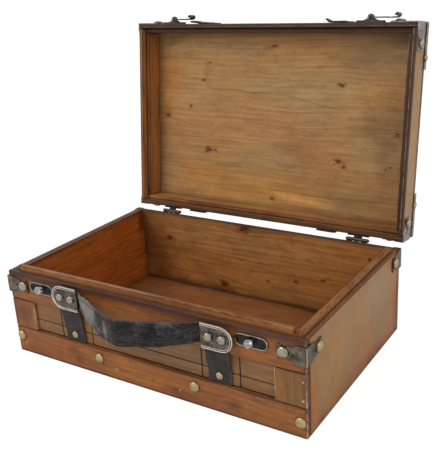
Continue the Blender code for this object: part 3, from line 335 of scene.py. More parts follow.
def connect(nodes, shader, colour, roughness=None, height=None, strength=0.3, depth=0.0004):
    """Links what the nodes give to the shader."""
    links = nodes.tree.links
    links.new(colour, shader.inputs["Base Color"])
    if roughness is not None:
        links.new(roughness, shader.inputs["Roughness"])
    if height is not None:
        inputs = {"Strength": strength, "Distance": depth, "Height": height}
        links.new(nodes.add("ShaderNodeBump", inputs).outputs[0], shader.inputs["Normal"])


def object_place(nodes, lid=False):
    """Object coordinates, and for the lid's pieces those of the closed lid."""
    place = nodes.add("ShaderNodeTexCoord").outputs["Object"]
    if not lid:
        return place
    inputs = {"Vector": place, "Center": tuple(HINGE), "Angle": OPEN_ANGLE}
    return nodes.add("ShaderNodeVectorRotate", inputs, rotation_type="X_AXIS").outputs[0]


# How a board looks unless it says otherwise: the grain's axis and seed, how wide its dark and warm edges are,
# its grain's contrast, hue and streaks, its edges and the case's front corners lightened by wearing and on some edges
# by a painted highlight, painted shade towards its edges, and its marks
PLAIN_LOOK = {
    "grain": "x", "seed": 0.0, "width": 0.006, "warm": 0.012, "contrast": 4.0, "hue": 0.8, "streaks": 1.0,
    "wear": 0.0, "corner": None, "soot": None, "knots": (), "bands": (), "lines": (), "tints": (),
    "veins": (), "veins_on": "y", "grooves": (),
}


def wood_face(nodes, place, groups, own, look):
    """One face of a board: its colours, grain, knots, dark edges, veins and tints, painted shade towards its edges
    and along the panel's dark lines, and edges lightened by wearing and a painted highlight.

    Own is the board's own box, whose edges are the seams with its neighbours.
    """
    look = PLAIN_LOOK | look
    parts = dict(zip("xyz", nodes.split(place)))
    grain, seed = look["grain"], look["seed"]
    across = [value for axis, value in parts.items() if axis != grain]
    run = nodes.join(nodes.math("ADD", parts[grain], seed), nodes.math("ADD", *across), seed * 0.7)

    def edge_of(low, high):
        return nodes.group(groups["edge"], {"Place": place, "Low": low, "High": high})[0]

    def spot(centre, reach, ragged):
        inputs = {"Place": place, "Centre": centre, "Reach": reach, "Ragged": ragged}
        return nodes.group(groups["spot"], inputs)[0]

    edge = edge_of(look["low"], look["high"])
    knots = nodes.most(
        spot(tuple(centre), tuple(size * share for share in KNOT_REACH), KNOT_RAGGED)
        for *centre, size in look["knots"]
    )
    band = nodes.most(nodes.step(parts[axis], start, end) for axis, start, end in look["bands"])
    wear_and_highlight = nodes.step(edge, 0.0002, 0.0008, look["wear"], 0.0)
    if look["corner"]:
        beyond = nodes.math("SUBTRACT", SIDE, nodes.math("ABSOLUTE", parts["x"]))
        beyond = nodes.math("MAXIMUM", beyond, nodes.math("SUBTRACT", parts["y"], FRONT))
        wear_and_highlight = nodes.math("MAXIMUM", wear_and_highlight, nodes.step(beyond, 0.0006, 0.0017, look["corner"], 0.0))
    for axis, middle, half, strength in look["lines"]:
        away = nodes.math("ABSOLUTE", nodes.math("SUBTRACT", parts[axis], middle))
        wear_and_highlight = nodes.math("MAXIMUM", wear_and_highlight, nodes.step(away, half * 0.5, half, strength, 0.0))
    inputs = dict(zip(("Light", "Deep", "Stain"), (linear(*colour) for colour in WOODS[look["wood"]])))
    inputs |= {"Place": run, "Edge": edge, "Seam": edge_of(*own), "Band": band, "Knots": knots}
    inputs |= {"Edge width": look["width"], "Warm width": look["warm"], "Wear and highlight": wear_and_highlight}
    inputs |= {"Contrast": look["contrast"], "Hue": look["hue"], "Streaks": look["streaks"]}
    outputs = nodes.group(groups["wood"], inputs)
    colour, rough, height = outputs[0], outputs[1], outputs[2]

    for centre, reach, tint in look["tints"]:
        colour = nodes.tinted(colour, spot(centre, reach, PATCH_RAGGED), tint)
    # Painted shade: the face darkens towards the edges of its box, where its corners are
    if look["soot"]:
        width, tint = look["soot"]
        colour = nodes.tinted(colour, nodes.step(edge, 0.0, width, 1.0, 0.0), tint)
    for start, end, low, high, half, strength in look["veins"]:
        line = {"Along": parts["x"], "Across": parts[look["veins_on"]], "Start": start, "End": end}
        line |= {"From": low, "To": high, "Half": half}
        mask = nodes.math("MULTIPLY", nodes.group(groups["vein"], line)[0], strength)
        colour = nodes.mix(mask, colour, VEIN_COLOUR)
    # Dark lines at the panel's recessed edges: dark joints with painted shade on top
    for axis, start, end in look["grooves"]:
        colour = nodes.mix(nodes.step(parts[axis], start, end), colour, GROOVE_COLOUR)
    return colour, rough, height


def own_box(name, lid):
    """A board's lowest and highest corners, on the closed lid for the lid's boards."""
    closed = OPEN.inverted() if lid else Matrix.Identity(4)
    corners = [closed @ vertex.co for vertex in CAD[name].data.vertices]
    return tuple(tuple(pick(corner[axis] for corner in corners) for axis in range(3)) for pick in (min, max))


def board_material(name, groups, faces):
    """A board's material. Its second face, if it has one, takes over where SECOND_FACES says."""
    material, nodes, shader = new_material("wood_" + name)
    lid = name.startswith("lid_")
    place, own = object_place(nodes, lid), own_box(name, lid)
    results = [wood_face(nodes, place, groups, own, look) for look in faces]
    colour, rough, height = results[0]
    if name in SECOND_FACES:
        axis, where = SECOND_FACES[name]
        share = nodes.math("GREATER_THAN", nodes.split(place)[axis.upper()], where)
        colour = nodes.mix(share, colour, results[1][0])
    connect(nodes, shader, colour, rough, height, 0.35, 0.0005)
    shader.inputs["Specular IOR Level"].default_value = 0.28
    return material


def outside(wood, **more):
    """A face on the outside of the base."""
    return {"wood": wood, "low": CASE_LOW, "high": CASE_HIGH, "width": 0.008, "wear": 0.2} | more


def inside(wood, **more):
    """A face on the inside of the base."""
    return {"wood": wood, "low": INSIDE_LOW, "high": INSIDE_HIGH, "warm": 0.002} | more


def lid_outside(wood, **more):
    """A face on the outside of the lid, dark at the rim."""
    look = {"wood": wood, "low": LID_LOW, "high": LID_HIGH, "width": 0.005, "bands": (("z", 0.1078, 0.1058),)}
    return look | more


def lid_inside(wood, **more):
    """A face on the inside of the lid, dark at its rim."""
    look = {"wood": wood, "low": LID_INSIDE_LOW, "high": LID_INSIDE_HIGH, "width": 0.004}
    return look | {"bands": (("z", 0.1146, 0.1126),)} | more


def full(row, axis, place):
    """A row of numbers along a face's two axes, with its place on the third put in."""
    return row[:axis] + (place,) + row[axis:]


def patches_on(axis, place, *rows):
    """Tinted patches of the face at this place on an axis.

    A row is a patch's middle and reach along the face's two axes, and its tint's red, green and blue.
    """
    depth = 0.02
    return tuple((full(row[:2], axis, place), full(row[2:4], axis, depth), row[4:]) for row in rows)


def knots_on(axis, place, *rows):
    """Knots in the face at this place on an axis: each its middle along the face's two axes, and its size."""
    return tuple(full(row, axis, place) for row in rows)


PANEL_KNOTS = knots_on(
    2, PANEL_FACE,
    (0.0026, -0.0956, 0.0035), (0.0922, -0.0509, 0.0045), (-0.1260, -0.0149, 0.0028), (-0.1633, -0.0006, 0.0036),
    (-0.0978, 0.0431, 0.0052), (0.0933, 0.0421, 0.0055), (0.1653, 0.0038, 0.0034), (0.0031, 0.0992, 0.0032),
    (0.1536, 0.0461, 0.0018), (0.1596, 0.0432, 0.0018), (0.0917, 0.0622, 0.0014), (-0.1050, -0.0504, 0.0026),
    (-0.0957, -0.0735, 0.0020), (-0.0860, 0.0420, 0.0022), (0.1010, 0.0480, 0.0024),
)
BACK_KNOTS = knots_on(
    1, BACK_WALL_FACE,
    (-0.1349, 0.0696, 0.0050), (-0.0156, 0.1004, 0.0095), (-0.0470, 0.0137, 0.0080), (0.0183, 0.0322, 0.0028),
    (0.0588, 0.0385, 0.0024), (0.0961, 0.0471, 0.0030), (0.1566, 0.0856, 0.0025),
)
TOP_TINTS = patches_on(
    1, FRONT,
    (-0.184, 0.100, 0.034, 0.014, 0.56, 0.50, 0.56),
    (-0.020, 0.090, 0.090, 0.012, 1.22, 1.06, 0.84),
    (-0.120, 0.100, 0.030, 0.006, 0.78, 0.70, 0.72),
)
STILE_TINTS = patches_on(1, FRONT, (-0.176, 0.050, 0.020, 0.030, 0.72, 0.66, 0.64))
RAIL_TINTS = patches_on(
    1, FRONT,
    (-0.098, 0.018, 0.020, 0.012, 0.66, 0.62, 0.64), (0.112, 0.014, 0.014, 0.010, 0.62, 0.60, 0.64),
    (0.015, 0.024, 0.030, 0.008, 1.00, 0.97, 0.92), (0.000, 0.022, 0.100, 0.020, 1.24, 1.30, 1.20),
    (0.060, 0.008, 0.050, 0.006, 0.80, 0.76, 0.74),
)
LEFT_TINTS = patches_on(
    0, LEFT_LINER_FACE,
    (0.110, 0.088, 0.012, 0.024, 0.56, 0.52, 0.56),
    (-0.060, 0.085, 0.070, 0.030, 1.08, 1.20, 1.30),
    (0.060, 0.040, 0.060, 0.040, 0.84, 0.84, 0.80),
)
BACK_TINTS = patches_on(
    1, BACK_WALL_FACE,
    (-0.168, 0.060, 0.060, 0.085, 0.54, 0.44, 0.36), (-0.090, 0.040, 0.070, 0.045, 0.84, 0.80, 0.76),
)
LINER_TINTS = patches_on(
    1, BACK_LINER_FACE,
    (0.130, 0.125, 0.090, 0.030, 0.60, 0.58, 0.58), (-0.070, 0.125, 0.050, 0.030, 0.82, 0.76, 0.72),
)
SIDE_TINTS = patches_on(
    0, SIDE,
    (-0.055, 0.056, 0.050, 0.042, 1.08, 1.10, 1.02), (0.055, 0.078, 0.085, 0.036, 1.02, 1.16, 1.58),
    (-0.106, 0.035, 0.020, 0.050, 1.06, 0.84, 0.66), (-0.010, 0.010, 0.120, 0.015, 0.90, 0.76, 0.68),
    (0.110, 0.045, 0.016, 0.060, 1.00, 0.82, 0.70),
)
# Darker patches at the panel's front corners, towards its front right and along its right edge are painted shade
PANEL_TINTS = patches_on(
    2, PANEL_FACE,
    (-0.158, -0.050, 0.030, 0.060, 1.02, 0.84, 0.60), (-0.100, 0.074, 0.080, 0.026, 1.06, 0.92, 0.66),
    (0.020, 0.020, 0.110, 0.070, 1.02, 1.02, 1.08), (-0.165, -0.005, 0.016, 0.014, 0.98, 0.76, 0.54),
    (-0.020, 0.090, 0.150, 0.034, 1.20, 1.12, 0.86), (0.120, 0.090, 0.090, 0.020, 0.86, 0.82, 0.80),
    (0.130, -0.090, 0.085, 0.040, 0.72, 0.70, 0.72), (0.168, -0.104, 0.032, 0.016, 0.62, 0.64, 0.68),
    (-0.155, -0.104, 0.030, 0.014, 0.70, 0.66, 0.62), (0.148, 0.000, 0.042, 0.055, 0.72, 0.69, 0.68),
    (-0.006, -0.093, 0.014, 0.007, 0.86, 0.66, 0.56), (-0.100, -0.062, 0.008, 0.020, 0.88, 0.74, 0.64),
    (0.052, 0.097, 0.056, 0.012, 1.40, 1.40, 1.36), (0.020, 0.091, 0.024, 0.005, 1.20, 1.20, 1.18),
)
# Each vein's start and end along the board, its place across it at both, half its width, and its strength
PANEL_VEINS = (
    (-0.105, 0.010, -0.0405, -0.0365, 0.0008, 0.75), (0.000, 0.110, -0.0385, -0.0180, 0.0007, 0.5),
    (-0.150, -0.020, 0.0560, 0.0640, 0.0006, 0.4), (-0.030, 0.070, 0.0030, 0.0090, 0.0006, 0.35),
    (-0.010, 0.105, 0.0855, 0.0905, 0.0008, 0.6), (0.005, 0.110, 0.1040, 0.1050, 0.0008, 0.5),
    (-0.155, -0.110, 0.0020, 0.0130, 0.0006, 0.5), (-0.140, 0.000, 0.0740, 0.0700, 0.0007, 0.35),
    (-0.060, 0.060, -0.0580, -0.0520, 0.0006, 0.35), (-0.150, -0.060, 0.0230, 0.0300, 0.0006, 0.35),
    (0.050, 0.160, 0.0300, 0.0400, 0.0006, 0.3),
)
BACK_VEINS = (
    (-0.100, 0.060, 0.0600, 0.0520, 0.0008, 0.5), (-0.060, 0.010, 0.0260, 0.0150, 0.0009, 0.6),
    (0.000, 0.100, 0.0420, 0.0500, 0.0007, 0.5), (0.050, 0.160, 0.0620, 0.0560, 0.0007, 0.45),
    (-0.140, -0.030, 0.0860, 0.0900, 0.0007, 0.45), (0.030, 0.150, 0.0900, 0.0820, 0.0007, 0.4),
)
# Dark bands, and the front panel's dark lines where it sits back in the frame, which are dark joints with painted
# shade: the axis, where each starts and where it is full
RIM_BAND = ("z", 0.1022, 0.1036)
TOP_BAND = ("z", 0.0940, 0.1005)
FOOT_BAND = ("z", 0.0050, 0.0010)
END_BANDS = (("x", 0.1889, 0.1894), ("x", -0.1889, -0.1894))
SIDE_BANDS = (RIM_BAND, ("y", -0.1142, -0.1154), ("z", 0.0042, 0.0012), ("y", 0.1186, 0.1212))
# Painted shade along the recessed panel's edges, over dark joints
PANEL_GROOVE_SHADE = (("y", -0.1184, -0.1181), ("z", 0.0352, 0.0340), ("x", -0.1550, -0.1558))


# Where a board's second face takes over from its first, and along which axis
SECOND_FACES = {
    "back_wall": ("y", 0.1185), "lid_top_panel": ("z", 0.1368), "lid_front_wall": ("y", -0.1214),
    "lid_back_wall": ("y", 0.1214), "lid_left_wall": ("x", -0.1886), "lid_right_wall": ("x", 0.1888),
}


def board_looks():
    """Each board's one or two faces."""
    front = {"width": 0.004, "warm": 0.004}
    side = outside(
        "side", grain="z", width=0.009, warm=0.022, contrast=2.6, streaks=0.45, hue=1.0, bands=SIDE_BANDS,
        high=(SIDE, BACK, 0.2),
    )
    # The lip's light top edges are a painted highlight as well as wearing
    lip = inside("lip", wear=0.8, width=0.0003, warm=0.001)
    lid_side = lid_outside("lid_side", grain="y", warm=0.003, streaks=0.6)
    rimmed = {"low": LID_LOW, "high": LID_HIGH, "width": 0.003, "warm": 0.002}
    snug = {"warm": 0.002, "soot": (0.010, (0.74, 0.70, 0.66))}
    # Where a face inside the case or lid darkens towards its edges, that is painted shade in its corners
    return {
        "front_top_rail": [
            outside("rail", seed=0.3, bands=(TOP_BAND, RIM_BAND) + END_BANDS, corner=0.5, tints=TOP_TINTS, **front)
        ],
        "front_bottom_rail": [outside(
            "rail", seed=1.7, width=0.004, warm=0.006, corner=0.8, bands=(FOOT_BAND,) + END_BANDS, tints=RAIL_TINTS
        )],
        "front_left_stile": [outside(
            "rail", grain="z", seed=2.9, lines=(("x", -0.1570, 0.0007, 1.0),), bands=END_BANDS, tints=STILE_TINTS,
            **front
        )],
        "front_right_stile": [outside(
            "stile", grain="z", seed=3.3, width=0.003, warm=0.002, lines=(("x", 0.1566, 0.0008, 0.95),), corner=0.9,
            bands=END_BANDS
        )],
        "front_panel": [outside("panel", seed=4.1, wear=0.0, contrast=3.6, grooves=PANEL_GROOVE_SHADE)],
        "left_wall": [side | {"seed": 5.3}],
        "right_wall": [side | {"seed": 6.1, "tints": SIDE_TINTS, "lines": (("x", 0.1874, 0.0011, 0.28),)}],
        "back_wall": [
            inside(
                "inside_back", seed=7.7, knots=BACK_KNOTS, bands=(RIM_BAND,), streaks=0.8, tints=BACK_TINTS,
                soot=(0.020, (0.62, 0.60, 0.58)), veins=BACK_VEINS, veins_on="z"
            ),
            outside("rail", seed=8.3, width=0.010, bands=(RIM_BAND,)),
        ],
        "front_liner": [lip | {"seed": 9.1}],
        "left_liner": [inside(
            "inside_side", grain="y", seed=10.3, hue=0.4, bands=(RIM_BAND,), soot=(0.016, (0.7, 0.66, 0.6)),
            tints=LEFT_TINTS
        )],
        "right_liner": [lip | {"seed": 11.9, "grain": "y"}],
        "floor_panel": [inside("floor", seed=12.7, contrast=3.6, hue=0.3, soot=(0.016, (0.7, 0.68, 0.66)))],
        "lid_top_panel": [
            lid_inside(
                "lid_inside", seed=13.1, knots=PANEL_KNOTS, width=0.003, contrast=3.6, streaks=0.6, hue=1.0,
                bands=(), warm=0.004, soot=(0.016, (0.50, 0.43, 0.38)), tints=PANEL_TINTS, veins=PANEL_VEINS
            ),
            lid_outside("rail", seed=14.9, width=0.012, bands=()),
        ],
        "lid_front_wall": [
            lid_outside("lid_front", seed=15.7, **front),
            lid_outside("rim", seed=15.1, lines=(("y", -0.1186, 0.0006, 0.22),)),
        ],
        "lid_back_wall": [
            lid_inside("liner_left", seed=16.9, hue=0.4, bands=(("z", 0.1105, 0.1050),), **rimmed),
            lid_outside("lid_front", seed=16.3),
        ],
        "lid_left_wall": [
            lid_side | {"seed": 17.7}, lid_inside("liner_left", grain="y", seed=17.1, bands=(), **rimmed)
        ],
        "lid_right_wall": [
            lid_outside("rim", grain="y", seed=18.1, width=0.003, lines=(("x", 0.1866, 0.0006, 0.45),)),
            lid_side | {"seed": 18.9},
        ],
        "lid_front_liner": [lid_inside("lid_liner", seed=19.3, **snug)],
        "lid_back_liner": [lid_inside("liner_back", seed=20.9, bands=(), hue=0.3, tints=LINER_TINTS, **snug)],
        "lid_left_liner": [lid_inside("liner_left", grain="y", seed=21.1, bands=(), **snug)],
        "lid_right_liner": [
            lid_inside("lid_liner", grain="y", seed=22.7, lines=(("x", 0.1794, 0.0006, 0.6),), **snug)
        ],
    }


def metal_material(name, light, dark, roughness, raised=None, edges=None, lid=False, rub_and_highlight=(182, 174, 162)):
    """Aged metal: tarnish in clouds, specks and scratches, and bright on raised parts and edges, from rubbing and
    from a painted highlight.

    Raised is where along Y the bright raised parts start and end. Edges is the group that finds the case's edges,
    which are made bright too.
    """
    material, nodes, shader = new_material(name)
    place = object_place(nodes, lid)
    cloud = nodes.noise(place, (180, 180, 180), 4.0, 0.6)
    spots = nodes.noise(place, (900, 900, 900), 2.0, 0.6)
    scratch = nodes.noise(place, (300, 2600, 2600), 2.0, 0.6)
    tone = nodes.step(nodes.total((cloud, 0.6), (spots, 0.45)), 0.36, 0.68)
    colour = nodes.mix(tone, linear(*dark), linear(*light))
    # Bright raised parts and edges: rubbing, and a painted highlight on the same places
    rubbed_and_highlit = 0.0
    if raised:
        rubbed_and_highlit = nodes.step(nodes.split(place)[1], *raised)
    if edges:
        box = {"Place": place, "Low": PLATES_LOW, "High": PLATES_HIGH}
        rubbed_and_highlit = nodes.step(nodes.group(edges, box)[0], 0.0003, 0.0011, 0.9, 0.0)
    if raised or edges:
        rubbed_and_highlit = nodes.math("MULTIPLY", rubbed_and_highlit, nodes.step(spots, 0.25, 0.5, 0.6, 1.0))
        colour = nodes.mix(rubbed_and_highlit, colour, linear(*rub_and_highlight))
    rough = nodes.math("ADD", cloud, nodes.math("MULTIPLY", scratch, 0.3))
    rough = nodes.step(nodes.math("MULTIPLY_ADD", rubbed_and_highlit, -0.3, rough), 0.4, 0.9, *roughness)
    connect(nodes, shader, colour, rough, nodes.total((spots, 0.75), (scratch, 0.25)), 0.25, 0.0003)
    shader.inputs["Metallic"].default_value = 1.0
    return material


def nail_material(name):
    """Antique brass, from yellow to grey, hammered, with dark patina round the rim and painted shade on its
    underside.
    """
    material, nodes, shader = new_material(name)
    texture = nodes.add("ShaderNodeTexCoord").outputs
    place = texture["Object"]
    dents = nodes.noise(place, (420, 420, 420), 3.0, 0.6)
    spots = nodes.noise(place, (1100, 1100, 1100), 2.0, 0.6)
    rim, grey = nodes.stored("rim"), nodes.stored("grey")
    colour = nodes.mix(grey, linear(188, 164, 118), linear(160, 154, 144))
    # Painted shade: the head is darker where its surface faces down
    under = nodes.math("SUBTRACT", 0.0, nodes.split(texture["Normal"])[2])
    patina_and_shade = nodes.step(under, 0.05, 0.65, 0.0, 0.75)
    for value, low, high, strength in ((rim, 0.80, 1.0, 0.9), (dents, 0.52, 0.66, 0.5), (spots, 0.60, 0.70, 0.6)):
        patina_and_shade = nodes.math("MAXIMUM", patina_and_shade, nodes.step(value, low, high, 0.0, strength))
    colour = nodes.mix(patina_and_shade, colour, nodes.mix(grey, linear(72, 54, 28), linear(56, 52, 48)))
    connect(nodes, shader, colour, nodes.step(patina_and_shade, 0.0, 1.0, 0.22, 0.50), dents, 0.5, 0.0005)
    shader.inputs["Metallic"].default_value = 1.0
    return material


# Where the handle's leather is lighter, partly scuffed and partly a painted highlight, mostly on its left half: each
# place, reach and strength
HANDLE_SCUFFS_AND_HIGHLIGHTS = (
    ((-0.060, -0.146, 0.087), (0.034, 0.034, 0.030), 1.6),
    ((-0.016, -0.160, 0.082), (0.006, 0.020, 0.016), 1.0),
    ((-0.030, -0.158, 0.078), (0.010, 0.020, 0.006), 0.8),
    ((0.050, -0.145, 0.098), (0.020, 0.020, 0.004), 0.5),
)


def leather_material(name, light, dark, spot, scuffs_and_highlights=()):
    """Leather with creases, pores, scuffed patches and painted highlights, and a paler raw edge where the rim
    attribute is 1.
    """
    material, nodes, shader = new_material(name)
    place = object_place(nodes)
    cloud = nodes.noise(place, (38, 38, 38), 4.0, 0.6, 0.8)
    crease = nodes.noise(place, (240, 380, 380), 5.0, 0.7, 1.0)
    scrape = nodes.noise(place, (60, 200, 420), 4.0, 0.7)
    pores = nodes.add("ShaderNodeTexVoronoi", {"Vector": place, "Scale": 1400.0}).outputs["Distance"]
    wear_and_highlight = 0.0
    # Lighter patches: scuffed leather, and on the handle's left half a painted highlight
    for centre, reach, strength in scuffs_and_highlights:
        inputs = {"Place": place, "Centre": centre, "Reach": reach, "Ragged": PATCH_RAGGED}
        wear_and_highlight = nodes.math("MAXIMUM", wear_and_highlight, nodes.math("MULTIPLY", nodes.group(spot, inputs)[0], strength))
    scuff_and_highlight = nodes.total((cloud, 0.34), (crease, 0.36), (scrape, 0.30), (wear_and_highlight, 0.30))
    colour = nodes.mix(nodes.step(scuff_and_highlight, 0.41, 0.96), linear(*dark), linear(*light))
    raw = nodes.step(nodes.stored("rim"), 0.4, 1.0)
    bare = nodes.math("MULTIPLY", raw, nodes.step(crease, 0.35, 0.65, 0.15, 0.6))
    colour = nodes.mix(bare, colour, linear(96, 86, 82))
    height = nodes.math("MULTIPLY_ADD", pores, 0.35, crease)
    connect(nodes, shader, colour, nodes.step(cloud, 0.3, 0.7, 0.34, 0.52), height, 0.5, 0.0006)
    shader.inputs["Specular IOR Level"].default_value = 0.15
    return material


def plain_material(name, colour, roughness):
    """A small part's finish: one colour, broken up a little."""
    material, nodes, shader = new_material(name)
    cloud = nodes.noise(object_place(nodes), (700, 700, 700), 3.0)
    darker = tuple(channel * 0.75 for channel in colour[:3]) + (1.0,)
    connect(nodes, shader, nodes.mix(nodes.step(cloud, 0.35, 0.65), darker, colour))
    shader.inputs["Roughness"].default_value = roughness
    return material


def finishes():
    """Every material that is not wood, made once and found again by name."""
    if "aged_plate" not in bpy.data.materials:
        edges, spot = edge_group(), spot_group()
        metal_material("aged_plate", (126, 115, 102), (56, 49, 41), (0.30, 0.48), edges=edges)
        metal_material("aged_lid_plate", (172, 164, 154), (84, 76, 68), (0.28, 0.46), edges=edges, lid=True)
        metal_material("dark_metal", (92, 86, 78), (48, 44, 40), (0.34, 0.52))
        # The plates' raised rims are bright from rubbing and a painted highlight
        plate = {"raised": (-0.1286, -0.1289), "rub_and_highlight": (206, 199, 188)}
        metal_material("handle_plate_metal", (118, 109, 101), (56, 49, 44), (0.26, 0.44), **plate)
        catch = {"raised": (-0.1234, -0.1236), "rub_and_highlight": (158, 153, 146)}
        metal_material("catch_plate_metal", (64, 62, 60), (30, 29, 28), (0.30, 0.48), **catch)
        metal_material("bright_metal", (200, 196, 190), (120, 114, 107), (0.16, 0.32))
        nail_material("nail_brass")
        leather_material("strap_leather", (111, 105, 101), (38, 35, 34), spot)
        leather_material("handle_leather", (126, 118, 118), (12, 8, 8), spot, HANDLE_SCUFFS_AND_HIGHLIGHTS)
        plain_material("thread", linear(14, 12, 12), 0.7)
        plain_material("brad_steel", linear(190, 184, 176), 0.35)
    return bpy.data.materials


def give(nodes, material):
    """Gives CAD nodes a finish in every slot."""
    for name in nodes:
        for slot in CAD[name].material_slots:
            slot.material = material


def new_piece(name, mesh, body):
    """A smooth piece made of this mesh, which rides on a body."""
    mesh.polygons.foreach_set("use_smooth", [True] * len(mesh.polygons))
    piece = bpy.data.objects.new(name, mesh)
    bpy.context.scene.collection.objects.link(piece)
    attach(piece, body)
    return piece


def new_mesh(name, vertices, faces, rim):
    """A closed mesh with its faces turned outwards, which keeps how near the rim each vertex is."""
    mesh = bpy.data.meshes.new(name)
    mesh.from_pydata(vertices, [], faces)
    mesh.attributes.new("rim", "FLOAT", "POINT").data.foreach_set("value", rim)
    working = bmesh.new()
    working.from_mesh(mesh)
    bmesh.ops.recalc_face_normals(working, faces=working.faces)
    working.to_mesh(mesh)
    working.free()
    return mesh


def strip_section(half_width, half_thickness):
    """The rounded outline of a strap's section, as across, out and how near its raw edge."""
    radius, steps = half_thickness * 0.92, 3
    flat = (0.88, 0.7, 0.5, 0.25, 0.0, -0.25, -0.5, -0.7, -0.88)
    points = []
    for sign_across, sign_out, first in ((1, 1, 0), (-1, 1, 90), (-1, -1, 180), (1, -1, 270)):
        for step in range(steps + 1):
            turn = math.radians(first + 90 * step / steps)
            across = sign_across * (half_width - radius) + radius * math.cos(turn)
            out = sign_out * (half_thickness - radius) + radius * math.sin(turn)
            points.append((across, out, 1.0))
        if sign_out == sign_across:
            points += [(half_width * share * sign_out, half_thickness * sign_out, 0.0) for share in flat]
    return points


def loft(name, stations, material, body, lift=None):
    """A strap through stations, each a centre, the way across, the way out, half width and half thickness.

    Lift says how far the strap stands off, from the share along it and the share across it.
    """
    vertices, rim, faces = [], [], []
    last = len(stations) - 1
    for ring, (centre, across, out, half_width, half_thickness) in enumerate(stations):
        section = strip_section(half_width, half_thickness)
        count = len(section)
        for index, (u, v, near) in enumerate(section):
            off = lift(ring / last, u / half_width) if lift else 0
            vertices.append(centre + across * u + out * (v + off))
            rim.append(1.0 if ring in (0, last) else near)
            if ring < last:
                here, there = ring * count + index, ring * count + (index + 1) % count
                faces.append((here, there, there + count, here + count))
    faces.append(tuple(range(count))[::-1])
    faces.append(tuple(range(last * count, (last + 1) * count)))
    mesh = new_mesh(name, vertices, faces, rim)
    mesh.materials.append(material)
    return new_piece(name, mesh, body)


def set_pieces_tree(name, material):
    """A tree that sets a copy of a shape on each point, faces it out, turns it along, and sizes it."""
    tree = bpy.data.node_groups.new(name, "GeometryNodeTree")
    face = tree.interface
    face.new_socket("Geometry", in_out="INPUT", socket_type="NodeSocketGeometry")
    face.new_socket("Shape", in_out="INPUT", socket_type="NodeSocketObject")
    face.new_socket("Size", in_out="INPUT", socket_type="NodeSocketFloat").default_value = 1.0
    face.new_socket("Unevenness", in_out="INPUT", socket_type="NodeSocketFloat").default_value = 0.03
    face.new_socket("Geometry", in_out="OUTPUT", socket_type="NodeSocketGeometry")
    nodes = Nodes(tree)
    given, result = nodes.add("NodeGroupInput").outputs, nodes.add("NodeGroupOutput").inputs

    def kept(key, kind):
        """What each point keeps under this name."""
        return nodes.add("GeometryNodeInputNamedAttribute", {"Name": key}, data_type=kind).outputs[0]

    faced = nodes.add("FunctionNodeAlignEulerToVector", {"Vector": kept("facing", "FLOAT_VECTOR")}, axis="Z")
    inputs = {"Rotation": faced.outputs[0], "Vector": kept("along", "FLOAT_VECTOR")}
    turned = nodes.add("FunctionNodeAlignEulerToVector", inputs, axis="X", pivot_axis="Z")
    least, most = (nodes.math(operation, 1.0, given["Unevenness"]) for operation in ("SUBTRACT", "ADD"))
    uneven = nodes.add("FunctionNodeRandomValue", {2: least, 3: most, "Seed": 7}, data_type="FLOAT")
    scale = nodes.math("MULTIPLY", nodes.math("MULTIPLY", kept("size", "FLOAT"), given["Size"]), uneven.outputs[1])
    shape = nodes.add("GeometryNodeObjectInfo", {"Object": given["Shape"]})
    inputs = {"Points": given["Geometry"], "Instance": shape.outputs["Geometry"]}
    inputs |= {"Rotation": turned.outputs[0], "Scale": scale}
    placed = nodes.add("GeometryNodeInstanceOnPoints", inputs)
    real = nodes.add("GeometryNodeRealizeInstances", {"Geometry": placed.outputs[0]})
    painted = nodes.add("GeometryNodeSetMaterial", {"Geometry": real.outputs[0], "Material": material})
    tree.links.new(painted.outputs[0], result[0])
    return tree


def socket_of(tree, name):
    """The identifier of a tree's named input."""
    return next(item.identifier for item in tree.interface.items_tree if item.name == name and item.in_out == "INPUT")


def set_pieces(name, spots, shape, tree, body, unevenness=0.03):
    """Sets the shape on spots, each a place, a facing, a way along, a size and how grey, as one plain mesh."""
    mesh = bpy.data.meshes.new(name + "_points")
    mesh.from_pydata([spot[0] for spot in spots], [], [])
    kinds = (("facing", "vector"), ("along", "vector"), ("size", "value"), ("grey", "value"))
    for index, (key, kind) in enumerate(kinds, 1):
        attribute = mesh.attributes.new(key, "FLOAT_VECTOR" if kind == "vector" else "FLOAT", "POINT")
        for item, spot in zip(attribute.data, spots):
            setattr(item, kind, spot[index])
    points = bpy.data.objects.new(name + "_points", mesh)
    bpy.context.scene.collection.objects.link(points)
    modifier = points.modifiers.new("Set", "NODES")
    modifier.node_group = tree
    for socket, value in (("Shape", shape), ("Size", 1.0), ("Unevenness", unevenness)):
        modifier[socket_of(tree, socket)] = value
    bpy.context.view_layer.update()
    graph = bpy.context.evaluated_depsgraph_get()
    result = bpy.data.meshes.new_from_object(points.evaluated_get(graph))
    result.name = name
    bpy.data.objects.remove(points)
    return new_piece(name, result, body)


def turned_shape(name, profile, steps=20):
    """A closed shape turned round Z from a profile of radius and height, from the axis and back to it."""
    vertices, faces, rings = [], [], []
    for radius, height in profile:
        count = steps if radius else 1
        rings.append(range(len(vertices), len(vertices) + count))
        for step in range(count):
            turn = 2 * math.pi * step / steps
            vertices.append((radius * math.cos(turn), radius * math.sin(turn), height))
    for lower, upper in zip(rings, rings[1:]):
        for step in range(steps):
            after = step + 1
            around = ((lower, step), (lower, after), (upper, after), (upper, step))
            corners = [ring[index % len(ring)] for ring, index in around]
            faces.append(tuple(dict.fromkeys(corners)))
    rim = [min(math.hypot(*vertex[:2]), 1.0) for vertex in vertices]
    return bpy.data.objects.new(name, new_mesh(name, vertices, faces, rim))


